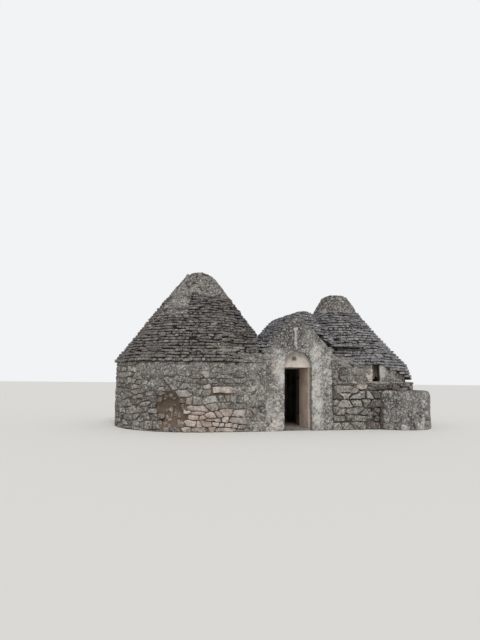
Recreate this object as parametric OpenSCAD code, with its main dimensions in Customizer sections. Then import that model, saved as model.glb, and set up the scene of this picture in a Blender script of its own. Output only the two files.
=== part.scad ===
// Trullo house: two round dry-stone rooms under stepped corbelled cones, joined by a straight
// front and back, with a plastered gabled porch over an arched doorway in the middle.
// Origin: on the ground, midway between the two cone axes. +X right, +Y to the back, +Z up.

/* [Plan] */
// Outer radius of each round drum
drum_r = 2700; // [2500:10:3000]
// Distance between the axes of the two cones
axis_gap = 5200; // [5000:10:5600]
// Thickness of the outer walls
wall_t = 900; // [750:10:1000]
// Width of the small hall behind the door
hall_w = 1800; // [1500:10:2000]
// Width of the way from the hall into each round room
room_way_w = 1150; // [900:10:1300]

/* [Walls] */
// Height of the wall tops, where both cones start
eave_h = 2030; // [1980:10:2200]
// Height of the ledge round the right drum
ledge_h = 1450; // [1300:10:1560]
// How far the right drum's upper wall stands back at the ledge
ledge_d = 250; // [150:10:300]
// Thickness of the ceiling slabs over the hall
ceiling_t = 140; // [100:5:160]
// Thickness of the stone floor
floor_t = 60; // [40:5:90]
// Radius of the hollow left where the left drum's outer stones have fallen
fallen_r = 700; // [500:10:900]
// Greatest depth of that hollow
fallen_d = 280; // [150:10:350]
// Height of the middle of that hollow
fallen_h = 620; // [400:10:800]
// Direction of that hollow seen from the left cone axis, in degrees
fallen_a = 243; // [236:1:248]

/* [Roofs] */
// Height of one course of roof slabs
course_h = 75; // [60:5:90]
// Depth of the slab skin that lies on the vault
skin_t = 300; // [200:10:380]
// How far the lowest slabs stand out from the wall
eave_over = 80; // [40:5:120]
// Height of the left cone's top
left_top_h = 5200; // [4900:10:5600]
// Height of the right cone's top
right_top_h = 4700; // [4400:10:5000]
// Radius of the left cone's flat top
left_top_r = 400; // [300:10:500]
// Radius of the right cone's flat top
right_top_r = 430; // [300:10:500]
// Flare ratio of the left cone, 1 for a straight slope
left_flare_ratio = 1; // [0.9:0.01:1.2]
// Flare ratio of the right cone, over 1 for a slope that flattens towards the eave
right_flare_ratio = 1.25; // [1.1:0.01:1.35]
// Pairs of slab courses on the left cone, below its mortared top
left_pairs = 15; // [12:1:16]
// Pairs of slab courses on the right cone, below its mortared top
right_pairs = 13; // [10:1:14]
// Bulge of each mortared top, under 1 for a rounder one
cap_bulge = 0.85; // [0.7:0.05:1]
// Width of the worn edge round each flat top
cap_edge = 60; // [20:5:100]
// Radius at which each vault would close above its last corbelled ring
vault_eye_r = 150; // [100:10:250]
// Curve of the vaults, under 1 for a fuller one
vault_bulge = 0.85; // [0.8:0.05:1]
// How far the closing slab of each vault lies on the last ring
slab_lap = 80; // [60:5:140]
// Courses that hang below the right eave on the annex side
hang_n = 6; // [1:1:6]
// How far each hanging course stands out beyond the one above it
hang_out = 25; // [10:5:28]
// Direction where the hanging courses begin, seen from the right cone axis, in degrees
hang_from = -75; // [-78:1:-60]
// Turn by which each lower course begins later, in degrees
hang_turn = 7; // [2:1:10]
// Direction where the hanging courses end, in degrees
hang_to = 12; // [0:1:40]
// Open joint between the stretches of one ring
joint_gap = 6; // [3:1:10]
// Courses of straight slope that fill the corner between a cone and the porch
corner_courses = 8; // [5:1:10]

/* [Hall roof] */
// Sideways place of the hall roof's ridge
ridge_x = 600; // [500:10:700]
// Reach of the hall roof's ridge towards the front
ridge_front = 1600; // [1400:10:1700]
// Reach of the hall roof's ridge towards the back
ridge_back = 1000; // [800:10:1100]
// Height of the hall roof's ridge
ridge_h = 3780; // [3650:10:3900]
// Half width of the hall roof at the wall tops
hall_roof_r = 1700; // [1600:10:1800]
// Half width of the hall roof at its ridge
ridge_r = 150; // [100:10:250]
// How much wider the neck to the right cone is, on each side
neck_r = 200; // [100:10:300]

/* [Porch] */
// Reach of the gable to the left of the middle
gable_left = 1130; // [1050:10:1250]
// Reach of the gable to the right of the middle
gable_right = 1360; // [1250:10:1450]
// How far the gable's left foot rises above the wall tops
left_foot_up = 190; // [180:10:370]
// How far the gable's right foot rises above the wall tops
right_foot_up = 180; // [180:10:370]
// Sideways place of the gable's point
gable_point_x = 130; // [0:10:250]
// Height of the gable's point
gable_point_h = 3490; // [3300:10:3650]
// Thickness of the gable wall
gable_t = 450; // [350:10:500]

/* [Doorway] */
// Sideways place of the doorway's middle
door_x = 30; // [-50:5:100]
// Width of the way through
door_w = 780; // [700:10:860]
// Height of the lintel, from the way through up to the wall tops
lintel_h = 130; // [80:10:200]
// Width of the arched recess round the cut stones
recess_w = 890; // [880:10:980]
// Depth of the arched recess
recess_d = 160; // [80:5:200]
// How far above the way through the recess's arch begins
spring_up = 35; // [0:5:100]
// Width of each cut jamb stone
jamb_w = 260; // [180:10:300]
// How far the arch stone reaches above the recess's arch
arch_stone_over = 70; // [30:5:120]
// Thickness of the arch stone
arch_stone_t = 290; // [200:10:300]
// Radius of the carved boss
boss_r = 70; // [40:5:90]
// How far the boss stands out
boss_d = 45; // [20:5:70]
// How far above the arch's beginning the boss lies
boss_up = 230; // [150:5:270]
// How far the boss lies to the left of the doorway's middle
boss_off = 70; // [0:5:120]
// Width of the carved hood over the boss
hood_w = 22; // [14:1:30]
// Width of the raised plaster stem above the arch
stem_w = 95; // [60:5:120]
// Height of the raised plaster stem
stem_h = 600; // [400:10:650]
// How far the stem stands out
stem_d = 35; // [20:5:50]
// How far the stem lies to the left of the doorway's middle
stem_off = 85; // [0:5:120]
// Gap between the arched recess and the foot of the stem
stem_gap = 45; // [20:5:100]
// Radius of the knob on top of the stem
knob_r = 75; // [50:5:100]

/* [Door leaf] */
// Thickness of the boards
board_t = 32; // [24:1:40]
// Number of boards
board_n = 5; // [4:1:7]
// How far the leaf covers the wall on each side of the way
leaf_lap = 30; // [20:1:45]
// Gap between the leaf and the wall, floor and lintel
leaf_gap = 15; // [10:1:25]
// Angle at which the leaf stands open in the rest pose, in degrees
leaf_open = 103; // [90:1:110]
// Depth of the groove between two boards
groove_d = 5; // [2:0.5:7]
// Width of a cross batten
batten_w = 110; // [80:5:140]
// How far a batten's end stands back from the leaf's edge
batten_in = 40; // [20:5:80]
// Thickness of a cross batten
batten_t = 28; // [20:1:35]
// Radius of the hinge pins
pin_r = 9; // [7:0.5:12]
// Height of the lower hinge above the ground
hinge_low_h = 420; // [350:10:600]
// Height of the upper hinge above the ground
hinge_high_h = 1560; // [1300:10:1600]
// Height of an iron strap
strap_h = 45; // [35:1:60]
// Thickness of an iron strap
strap_t = 6; // [4:0.5:8]
// Length of an iron strap
strap_l = 520; // [400:10:640]
// How far a hinge pin stands out above its eye
pin_out = 8; // [5:1:15]

/* [Window] */
// Width of the window
window_w = 290; // [220:5:340]
// Sideways place of the window's middle, from the right cone axis
window_x = 255; // [200:5:400]
// Height of the window's sill stone
sill_t = 45; // [30:5:70]
// Depth from the upper wall's face to the shutter
shutter_in = 180; // [100:10:250]
// Thickness of the shutter's boards
shutter_t = 40; // [25:1:50]
// Number of boards in the shutter
shutter_n = 3; // [2:1:4]

/* [Annex] */
// Radius of the low round annex
annex_r = 1200; // [1000:10:1300]
// Height of the annex
annex_h = 1230; // [1000:10:1400]
// Rounding of the annex's top edge
annex_edge = 140; // [80:10:250]
// Distance from the right cone axis to the annex's middle
annex_out = 2250; // [2100:10:2400]
// Direction from the right cone axis to the annex's middle, in degrees
annex_a = -60; // [-66:1:-50]

/* [Hidden] */
$fn = 240;
LEFT = 0;
RIGHT = 1;
stretches = 12;
slice_a = 60;
eps = 1;
door_h = eave_h - lintel_h;
spring_h = door_h + spring_up;
arch_stone_h = spring_up + recess_w / 2 + arch_stone_over;
room_r = drum_r - wall_t;
axis_x = axis_gap / 2;
front_y = -drum_r;
passage_y = front_y + wall_t;
arch_stone_y = front_y + recess_d;
jamb_x = door_w / 2 + jamb_w;
door_left = door_x - door_w / 2;
door_right = door_x + door_w / 2;
upper_r = drum_r - ledge_d;
window_left = axis_x + window_x - window_w / 2;
window_right = axis_x + window_x + window_w / 2;
window_low = ledge_h + sill_t;
shutter_y = -upper_r + shutter_in;
eye_r = pin_r + 0.3;
eye_wall = 7;
eye_gap = 2;
eye_rise = 2;
hinge_x = door_right + leaf_lap + eye_r + eye_wall + eye_gap;
hinge_y = passage_y + leaf_gap + strap_t + board_t / 2;
leaf_w = door_w + 2 * leaf_lap;
leaf_low = floor_t + leaf_gap;
leaf_high = min(door_h, eave_h - ceiling_t) - leaf_gap;

// Driving values of one cone
function top_h(side) = side == LEFT ? left_top_h : right_top_h;
function top_r(side) = side == LEFT ? left_top_r : right_top_r;
function flare(side) = side == LEFT ? left_flare_ratio : right_flare_ratio;
function pairs(side) = side == LEFT ? left_pairs : right_pairs;
function eave_r(side) = (side == LEFT ? drum_r : upper_r) + eave_over;
function side_x(side) = side == LEFT ? -axis_x : axis_x;

// Height of the foot of slab course k, and the radius of its outer face
function course_z(k) = eave_h + k * course_h;
function rise(side, k) = k * course_h / (top_h(side) - eave_h);
function course_r(side, k) =
    top_r(side) + (eave_r(side) - top_r(side)) * pow(1 - rise(side, k), flare(side));

// Stepped edge of the courses from first to last, taken in by inset, going up
function steps_up(side, first, last, inset) = [
    for (k = [first : last - 1], up = [0, 1]) [course_r(side, k) - inset, course_z(k + up)]
];
function turned(list) = [for (i = [len(list) - 1 : -1 : 0]) list[i]];

// Radius inside the vault's corbelled ring j, each as high as two slab courses
function vault_r(side, j) =
    vault_eye_r + (room_r - vault_eye_r) * pow(1 - j / pairs(side), vault_bulge);
function vault_steps_up(side) = [
    for (j = [0 : pairs(side) - 2], up = [0, 1]) [vault_r(side, j), course_z(2 * (j + up))]
];

// Half width of the hall roof in course k
hall_courses = floor((ridge_h - eave_h) / course_h);
function hall_r(k) = ridge_r + (hall_roof_r - ridge_r) * pow(1 - k / hall_courses, 0.95);

// One ring, revolved from an outline of radius and height and parted into stretches
module ring_joints() {
    for (i = [0 : stretches - 1])
        rotate([0, 0, (i + 0.5) * 360 / stretches])
            translate([0, -joint_gap / 2, 0]) cube([2 * drum_r, joint_gap, 2 * left_top_h]);
}
module ring(outline) {
    difference() {
        rotate_extrude() polygon(outline);
        ring_joints();
    }
}

// Everything on one cone's own side of the valley between the cones
module own_side(side) {
    big = 4 * drum_r;
    translate([side == LEFT ? -big : joint_gap / 2, -big / 2, 0])
        cube([big - joint_gap / 2, big, 3 * eave_h]);
}

// One band of slab courses on a cone
module roof_band(side, first, last) {
    outline = concat(steps_up(side, first, last, 0), turned(steps_up(side, first, last, skin_t)));
    if (course_r(side, first) > axis_x)
        intersection() {
            translate([side_x(side), 0, 0]) ring(outline);
            own_side(side);
        }
    else
        translate([side_x(side), 0, 0]) ring(outline);
}

// Courses that hang below the right eave, on the side of the annex
module hanging_eave() {
    translate([axis_x, 0, 0])
        difference() {
            for (k = [1 : hang_n])
                intersection() {
                    rotate_extrude()
                        translate([upper_r, course_z(-k)]) square([eave_over + k * hang_out, course_h]);
                    between(hang_from + (k - 1) * hang_turn, hang_to);
                }
            ring_joints();
        }
}

// The whole mass of one cone, as a cutter for what leans on it
module cone_mass(side) {
    last = 2 * pairs(side);
    translate([side_x(side), 0, 0])
        rotate_extrude()
            polygon(concat([[0, eave_h]], steps_up(side, 0, last, 0), [[0, course_z(last)]]));
}

// Corbelled vault of one room, in stepped rings, with a seat for its closing slab
function ring_top(side) = 2 * (pairs(side) - 1);
function closing_r(side) = vault_r(side, pairs(side) - 2) + slab_lap;
module vault(side) {
    seat = [for (k = [ring_top(side), 2 * pairs(side)]) [closing_r(side), course_z(k)]];
    skin = turned(steps_up(side, 0, 2 * pairs(side), skin_t));
    translate([side_x(side), 0, 0]) ring(concat(vault_steps_up(side), seat, skin));
}

// Slab that closes the vault of each room
module closing_slabs() {
    color("#948b7f")
        for (side = [LEFT, RIGHT])
            translate([side_x(side), 0, course_z(ring_top(side))])
                cylinder(r = closing_r(side), h = 2 * course_h);
}

// Mortared rubble top of one cone
module cap(side) {
    base_k = 2 * pairs(side);
    base_h = course_z(base_k);
    base_r = course_r(side, base_k);
    parts = 9;
    outline = [
        for (i = [0 : parts])
            [top_r(side) + (base_r - top_r(side)) * pow(1 - i / parts, cap_bulge),
             base_h + (top_h(side) - cap_edge - base_h) * i / parts]
    ];
    translate([side_x(side), 0, 0])
        rotate_extrude()
            polygon(concat([[0, base_h]], outline,
                [[top_r(side) - cap_edge, top_h(side)], [0, top_h(side)]]));
}

// What one drum takes up between two directions, for slices of at most a right angle
module between(from_a, to_a) {
    big = 2 * drum_r;
    linear_extrude(2 * eave_h)
        polygon([[0, 0], big * [cos(from_a), sin(from_a)],
            2 * big * [cos((from_a + to_a) / 2), sin((from_a + to_a) / 2)],
            big * [cos(to_a), sin(to_a)]]);
}

// Slice of a drum wall between two directions, with the room left open
module drum_slice(side, from_a, to_a, low, high, outer) {
    translate([side_x(side), 0, 0])
        intersection() {
            rotate_extrude() translate([room_r, low]) square([outer - room_r, high - low]);
            between(from_a, to_a);
        }
}

// Straight wall beside a drum, hollowed by the round room
module straight_wall(side, inner, depth_y, low, high, face) {
    x_low = side == LEFT ? -axis_x : inner;
    x_high = side == LEFT ? -inner : axis_x;
    difference() {
        translate([x_low, depth_y < 0 ? -face : 0, low]) cube([x_high - x_low, face, high - low]);
        translate([side_x(side), 0, low - eps]) cylinder(r = room_r, h = high - low + 2 * eps);
    }
}

module left_front_wall() {
    color("#a8a39a") straight_wall(LEFT, gable_left, -1, 0, eave_h, drum_r);
}

// The hollow where the outer stones are gone shows the earth and rubble core
module left_quarter_wall() {
    out = drum_r + fallen_r - fallen_d;
    color("#a39b8e")
        difference() {
            drum_slice(LEFT, 270 - slice_a, 270, 0, eave_h, drum_r);
            translate([-axis_x, 0, 0])
                rotate([0, 0, fallen_a])
                    translate([out, 0, fallen_h]) sphere(r = fallen_r);
        }
}

module left_side_wall() {
    color("#a8a39a") drum_slice(LEFT, 90 + slice_a, 270 - slice_a, 0, eave_h, drum_r);
}

module left_back_quarter_wall() {
    color("#a8a39a") drum_slice(LEFT, 90, 90 + slice_a, 0, eave_h, drum_r);
}

module left_back_wall() {
    color("#a8a39a") straight_wall(LEFT, gable_left, 1, 0, eave_h, drum_r);
}

module back_wall() {
    color("#a8a39a")
        translate([-gable_left, drum_r - wall_t, 0])
            cube([gable_left + gable_right, wall_t, eave_h]);
}

module right_back_wall() {
    color("#a29f9c") {
        straight_wall(RIGHT, gable_right, 1, 0, ledge_h, drum_r);
        straight_wall(RIGHT, gable_right, 1, ledge_h, eave_h, upper_r);
    }
}

// Drum slice whose upper part stands back above the ledge
module ledged_slice(from_a, to_a) {
    translate([axis_x, 0, 0])
        intersection() {
            rotate_extrude()
                polygon([[room_r, 0], [drum_r, 0], [drum_r, ledge_h], [upper_r, ledge_h],
                    [upper_r, eave_h], [room_r, eave_h]]);
            between(from_a, to_a);
        }
}

module right_back_quarter_wall() {
    color("#a29f9c") ledged_slice(90 - slice_a, 90);
}

module right_side_wall() {
    color("#a29f9c") ledged_slice(slice_a - 90, 90 - slice_a);
}

module right_quarter_wall() {
    color("#9c9994") drum_slice(RIGHT, -90, slice_a - 90, 0, ledge_h, drum_r);
}

module right_front_wall() {
    color("#9c9994") straight_wall(RIGHT, gable_right, -1, 0, ledge_h, drum_r);
}

// Mortared upper wall between the porch and the window
module right_upper_wall() {
    color("#b3aca6")
        difference() {
            union() {
                straight_wall(RIGHT, gable_right, -1, ledge_h, eave_h, upper_r);
                drum_slice(RIGHT, -90, slice_a / 2 - 90, ledge_h, eave_h, upper_r);
            }
            translate([window_left, -drum_r, ledge_h - eps]) cube([drum_r, drum_r, eave_h]);
        }
}

// Mortared upper wall beyond the window
module right_window_wall() {
    color("#b3aca6")
        difference() {
            drum_slice(RIGHT, -90, slice_a - 90, ledge_h, eave_h, upper_r);
            translate([window_right - drum_r, -drum_r, ledge_h - eps])
                cube([drum_r, drum_r, eave_h]);
        }
}

// Masonry between the hall and the round rooms, in front of and behind each way
module room_piers() {
    color("#b8b0a4")
        for (side = [LEFT, RIGHT], front = [-1, 1])
            room_pier(side, front);
}

module room_pier(side, front) {
    reach = side == LEFT ? gable_left : gable_right;
    x_low = side == LEFT ? -reach : hall_w / 2;
    y_low = front < 0 ? -room_r : room_way_w / 2;
    difference() {
        translate([x_low, y_low, 0])
            cube([reach - hall_w / 2, room_r - room_way_w / 2, eave_h - ceiling_t]);
        translate([side_x(side), 0, -eps]) cylinder(r = room_r, h = eave_h);
    }
}

// Outline of the arched recess seen from the front, run back by its depth
module arch_recess() {
    translate([door_x, arch_stone_y, 0])
        rotate([90, 0, 0])
            linear_extrude(recess_d + eps) {
                translate([-recess_w / 2, -eps]) square([recess_w, spring_h + eps]);
                translate([0, spring_h]) circle(r = recess_w / 2);
            }
}

// Space behind the recess for the cut stones and the way through
module cut_stone_space() {
    translate([door_x - jamb_x, arch_stone_y, -eps])
        cube([2 * jamb_x, wall_t, eave_h + 2 * eps]);
}

module porch_left_pier() {
    color("#cfcac0")
        difference() {
            translate([-gable_left, front_y, 0]) cube([gable_left + door_x, wall_t, eave_h]);
            arch_recess();
            cut_stone_space();
        }
}

module porch_right_pier() {
    color("#d6d2c9")
        difference() {
            translate([door_x, front_y, 0]) cube([gable_right - door_x, wall_t, eave_h]);
            arch_recess();
            cut_stone_space();
        }
}

module door_jambs() {
    color("#b89c86")
        for (x = [door_x - jamb_x, door_right])
            translate([x, arch_stone_y, 0]) cube([jamb_w, wall_t - recess_d, door_h]);
}

module door_lintel() {
    y = arch_stone_y + arch_stone_t;
    color("#b0a293")
        translate([door_x - jamb_x, y, door_h])
            cube([2 * jamb_x, passage_y - y, eave_h - door_h]);
}

module arch_stone() {
    color("#cdbfae")
        translate([door_x - jamb_x, arch_stone_y, door_h])
            cube([2 * jamb_x, arch_stone_t, arch_stone_h]);
}

// Small round boss under a carved hood
module arch_boss() {
    color("#a8834a")
        translate([door_x - boss_off, arch_stone_y, spring_h + boss_up])
            rotate([90, 0, 0]) {
                cylinder(r = boss_r - hood_w, h = boss_d * 0.6);
                cylinder(r = (boss_r - hood_w) * 0.45, h = boss_d * 0.85);
                difference() {
                    cylinder(r = boss_r, h = boss_d);
                    translate([0, 0, -eps]) cylinder(r = boss_r - hood_w, h = boss_d + 2 * eps);
                    translate([-boss_r, -2 * boss_r, -eps])
                        cube([2 * boss_r, 2 * boss_r, boss_d + 2 * eps]);
                }
                translate([-boss_r, -hood_w, 0]) cube([2 * boss_r, hood_w, boss_d]);
            }
}

// Plastered gable over the doorway, seated against both cones
module gable_wall() {
    color("#c6c1b8")
        difference() {
            translate([0, front_y + gable_t, 0])
                rotate([90, 0, 0])
                    linear_extrude(gable_t)
                        polygon([[-gable_left, eave_h], [gable_right, eave_h],
                            [gable_right, eave_h + right_foot_up], [gable_point_x, gable_point_h],
                            [-gable_left, eave_h + left_foot_up]]);
            arch_recess();
            translate([door_x - jamb_x, arch_stone_y, eave_h - eps])
                cube([2 * jamb_x, arch_stone_t, door_h + arch_stone_h - eave_h + eps]);
            cone_mass(LEFT);
            cone_mass(RIGHT);
        }
}

// Raised plaster stem with a knob on the gable's face
module gable_stem() {
    foot_h = spring_h + recess_w / 2 + stem_gap;
    color("#dcd9d2")
        translate([door_x - stem_off, front_y, 0])
            rotate([90, 0, 0])
                linear_extrude(stem_d) {
                    polygon([[-stem_w / 2, foot_h], [stem_w / 2, foot_h],
                        [stem_w * 0.36, foot_h + stem_h], [-stem_w * 0.36, foot_h + stem_h]]);
                    translate([0, foot_h + stem_h + knob_r * 0.6]) circle(r = knob_r);
                }
}

module threshold() {
    color("#a79b8b")
        translate([door_left, arch_stone_y - recess_d / 2, 0])
            cube([door_w, wall_t - recess_d / 2, floor_t]);
}

// Floor of the two round rooms and the hall
module floor_slabs() {
    color("#9d9284") {
        linear_extrude(floor_t) {
            for (side = [LEFT, RIGHT]) translate([side_x(side), 0]) circle(r = room_r);
            translate([-axis_x, -room_way_w / 2]) square([axis_gap, room_way_w]);
            translate([-hall_w / 2, -room_r]) square([hall_w, 2 * room_r]);
        }
    }
}

module hall_ceiling() {
    color("#a89f92")
        translate([-gable_left, -room_r, eave_h - ceiling_t])
            cube([gable_left + gable_right, 2 * room_r, ceiling_t]);
}

module left_vault() { color("#948b7f") vault(LEFT); }
module right_vault() { color("#948b7f") vault(RIGHT); }

// The courses of each cone lie in three bands, one on the other
function band_edge(side, i) = round(2 * pairs(side) * i / 3);
module left_roof_lower() { color("#8d8780") roof_band(LEFT, 0, band_edge(LEFT, 1)); }
module left_roof_middle() {
    color("#86807a") roof_band(LEFT, band_edge(LEFT, 1), band_edge(LEFT, 2));
}
module left_roof_upper() { color("#8d8780") roof_band(LEFT, band_edge(LEFT, 2), 2 * left_pairs); }
module left_cap() { color("#a39c92") cap(LEFT); }
module right_roof_lower() {
    color("#8f8e94") {
        roof_band(RIGHT, 0, band_edge(RIGHT, 1));
        hanging_eave();
    }
}
module right_roof_middle() {
    color("#88878d") roof_band(RIGHT, band_edge(RIGHT, 1), band_edge(RIGHT, 2));
}
module right_roof_upper() {
    color("#8f8e94") roof_band(RIGHT, band_edge(RIGHT, 2), 2 * right_pairs);
}
module right_cap() { color("#a09a96") cap(RIGHT); }

// Stepped mound over the hall, between the gable and the back, with a neck to the right cone
module hall_roof() {
    color("#8b878a")
        for (front = [-1, 1])
            difference() {
                for (k = [0 : hall_courses - 1]) hall_course(front, k);
                cone_mass(LEFT);
                cone_mass(RIGHT);
                translate([-drum_r, front_y - drum_r + gable_t, eave_h - eps])
                    cube([2 * drum_r, drum_r, 2 * drum_r]);
            }
}

module hall_course(front, k) {
    half = joint_gap / 2;
    translate([0, 0, course_z(k)])
        linear_extrude(course_h)
            intersection() {
                if (k < corner_courses) hall_base(k);
                else hall_ridge(front, hall_r(k));
                translate([-2 * drum_r, front < 0 ? -2 * drum_r : half])
                    square([4 * drum_r, 2 * drum_r - half]);
            }
}

// Straight low courses, in line with the slopes beside them
module hall_base(k) {
    r = course_r(LEFT, k);
    translate([-gable_left, -r]) square([gable_left + gable_right, 2 * r]);
}

// Rounded ridge from front to back, with its neck to the right cone
module hall_ridge(front, r) {
    translate([ridge_x, front < 0 ? -ridge_front : ridge_back]) circle(r = r);
    translate([ridge_x - r, -ridge_front]) square([2 * r, ridge_front + ridge_back]);
    translate([ridge_x, -r - neck_r]) square([axis_x - ridge_x, 2 * (r + neck_r)]);
}

// Straight slopes in the four corners between the cones and the hall roof
module corner_slopes() {
    color("#8a8682")
        for (side = [LEFT, RIGHT], front = [-1, 1])
            difference() {
                for (k = [0 : corner_courses - 1]) corner_course(side, front, k);
                cone_mass(side);
            }
}

module corner_course(side, front, k) {
    r = course_r(side, k);
    x_low = side == LEFT ? -axis_x : gable_right;
    x_high = side == LEFT ? -gable_left : axis_x;
    translate([x_low, front < 0 ? -r : 0, course_z(k)]) cube([x_high - x_low, r, course_h]);
}

// Low solid round mass against the right drum, with a rounded top edge
module annex() {
    color("#a7a29b")
        difference() {
            translate([axis_x + annex_out * cos(annex_a), annex_out * sin(annex_a), 0])
                rotate_extrude()
                    polygon(concat([[0, 0], [annex_r, 0]],
                        [for (a = [0 : 15 : 90])
                            [annex_r - annex_edge * (1 - cos(a)), annex_h - annex_edge * (1 - sin(a))]],
                        [[0, annex_h]]));
            translate([axis_x, 0, -eps]) cylinder(r = drum_r, h = annex_h + 2 * eps);
        }
}

module window_sill() {
    color("#aaa49c")
        translate([window_left, -upper_r, ledge_h])
            cube([window_w, shutter_in + shutter_t, sill_t]);
}

// Board shutter that closes the window, set deep in the wall
module window_shutter() {
    w = window_w / shutter_n;
    color("#8b857c")
        translate([window_left, shutter_y, window_low])
            linear_extrude(eave_h - window_low)
                difference() {
                    square([window_w, shutter_t]);
                    for (i = [1 : shutter_n - 1])
                        translate([i * w, 0]) groove();
                }
}

// V-shaped groove along the joint of two boards
module groove() {
    rotate(45) square(groove_d * sqrt(2), center = true);
}

// Upright iron pins built into the wall beside the way, each on a tang below its eye
module hinge_pins() {
    tang = hinge_y - passage_y;
    tang_h = 2 * pin_r;
    color("#4a3f38")
        for (z = [hinge_low_h, hinge_high_h])
            translate([hinge_x, hinge_y, z]) {
                translate([0, 0, -tang_h - eye_rise])
                    cylinder(r = pin_r, h = strap_h + tang_h + eye_rise + pin_out);
                translate([-pin_r, -tang, -tang_h - eye_rise]) cube([2 * pin_r, tang, tang_h]);
            }
}

// Placement of everything on the leaf, which swings inwards about the hinge pins
module on_leaf() {
    translate([hinge_x, hinge_y, 0]) rotate([0, 0, -leaf_open]) translate([-hinge_x, -hinge_y, 0])
        children();
}

module door_boards() {
    w = leaf_w / board_n;
    color("#4d4640")
        on_leaf()
            translate([door_left - leaf_lap, hinge_y - board_t / 2, leaf_low])
                linear_extrude(leaf_high - leaf_low)
                    difference() {
                        square([leaf_w, board_t]);
                        for (i = [1 : board_n - 1], y = [0, board_t])
                            translate([i * w, y]) groove();
                    }
}

// Cross battens on the face that turns into the hall
module door_battens() {
    color("#554c44")
        on_leaf()
            for (share = [0.16, 0.48, 0.8])
                translate([door_left - leaf_lap + batten_in, hinge_y + board_t / 2,
                        leaf_low + share * leaf_high])
                    cube([leaf_w - 2 * batten_in, batten_t, batten_w]);
}

// Iron straps on the outer face, each rolled into an eye round its pin
module door_straps() {
    color("#4a3f38")
        on_leaf()
            for (z = [hinge_low_h, hinge_high_h])
                translate([hinge_x, hinge_y, z]) {
                    difference() {
                        union() {
                            cylinder(r = eye_r + eye_wall, h = strap_h);
                            translate([-strap_l, -board_t / 2 - strap_t, 0])
                                cube([strap_l, strap_t, strap_h]);
                        }
                        translate([0, 0, -eps]) cylinder(r = eye_r, h = strap_h + 2 * eps);
                    }
                }
}

left_front_wall();
left_quarter_wall();
left_side_wall();
left_back_quarter_wall();
left_back_wall();
back_wall();
right_back_wall();
right_back_quarter_wall();
right_side_wall();
right_quarter_wall();
right_front_wall();
right_upper_wall();
right_window_wall();
room_piers();
porch_left_pier();
porch_right_pier();
door_jambs();
door_lintel();
arch_stone();
arch_boss();
gable_wall();
gable_stem();
threshold();
floor_slabs();
hall_ceiling();
left_vault();
right_vault();
closing_slabs();
left_roof_lower();
left_roof_middle();
left_roof_upper();
left_cap();
right_roof_lower();
right_roof_middle();
right_roof_upper();
right_cap();
hall_roof();
corner_slopes();
annex();
window_sill();
window_shutter();
hinge_pins();
door_boards();
door_battens();
door_straps();
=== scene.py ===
"""Looks of a dry-stone trullo house: slab roofs, rubble walls and a limewashed porch."""

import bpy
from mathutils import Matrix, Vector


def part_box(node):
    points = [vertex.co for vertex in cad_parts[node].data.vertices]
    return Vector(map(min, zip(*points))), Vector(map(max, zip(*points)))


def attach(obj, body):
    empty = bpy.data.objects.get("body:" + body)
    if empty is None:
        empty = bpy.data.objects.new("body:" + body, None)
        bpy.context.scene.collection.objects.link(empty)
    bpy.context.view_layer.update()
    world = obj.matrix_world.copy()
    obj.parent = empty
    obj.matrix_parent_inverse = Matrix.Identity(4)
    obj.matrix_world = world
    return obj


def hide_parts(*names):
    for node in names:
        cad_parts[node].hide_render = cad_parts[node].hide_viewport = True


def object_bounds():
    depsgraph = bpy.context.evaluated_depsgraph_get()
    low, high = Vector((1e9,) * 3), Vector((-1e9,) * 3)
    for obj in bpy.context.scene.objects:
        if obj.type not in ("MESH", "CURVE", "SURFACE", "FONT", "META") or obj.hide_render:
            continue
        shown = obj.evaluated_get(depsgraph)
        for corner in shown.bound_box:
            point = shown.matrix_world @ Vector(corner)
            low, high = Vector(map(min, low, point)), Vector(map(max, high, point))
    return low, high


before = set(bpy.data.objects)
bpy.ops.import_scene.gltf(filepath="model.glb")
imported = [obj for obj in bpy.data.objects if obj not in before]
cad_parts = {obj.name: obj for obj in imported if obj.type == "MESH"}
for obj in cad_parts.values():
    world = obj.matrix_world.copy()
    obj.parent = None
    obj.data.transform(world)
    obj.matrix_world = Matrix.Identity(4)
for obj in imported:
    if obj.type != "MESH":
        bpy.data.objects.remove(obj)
CAD_BOX = [[float(v) for v in corner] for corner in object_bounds()]

import math
from functools import partial

import bmesh
import bpy
import numpy as np
from bpy.props import FloatProperty, FloatVectorProperty, IntProperty, PointerProperty
from mathutils import Matrix, Vector

bl_info = {
    "name": "Trullo House Looks",
    "version": (1, 0, 0),
    "blender": (4, 5, 0),
    "location": "3D View > Sidebar > Trullo",
    "description": "Builds the stonework, plaster and wood of a trullo house over its fixed frame",
    "category": "Object",
}

# Places that come from the frame
LEFT, RIGHT = 0, 1
AXIS_X = [(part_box(n)[0].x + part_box(n)[1].x) / 2 for n in ("left_cap", "right_cap")]
DRUM_R = -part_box("left_front_wall")[0].y
EAVE_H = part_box("left_front_wall")[1].z
LEDGE_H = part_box("right_front_wall")[1].z
UPPER_R = -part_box("right_upper_wall")[0].y
EAVE_R = [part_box(n)[1].y for n in ("left_roof_lower", "right_roof_lower")]
TOP_H = [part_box(n)[1].z for n in ("left_cap", "right_cap")]
CAP_H = [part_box(n)[0].z for n in ("left_cap", "right_cap")]
GABLE = (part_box("gable_wall")[0].x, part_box("gable_wall")[1].x)
PORCH = (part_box("porch_left_pier")[0].x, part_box("porch_right_pier")[1].x)
WINDOW = (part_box("window_shutter")[0].x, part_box("window_shutter")[1].x)
RIDGE_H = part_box("hall_roof")[1].z
# The cones' half widths at the top and how hollow their slopes are, left and right
TOP_R, FLARE = (0.40, 0.43), (1.0, 1.25)
# Height of one step of the frame's roofs, and of the flat shoulder that the hall roof stands on
STEP_H = 0.075
SHOULDER_H = EAVE_H + 8 * STEP_H
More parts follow.
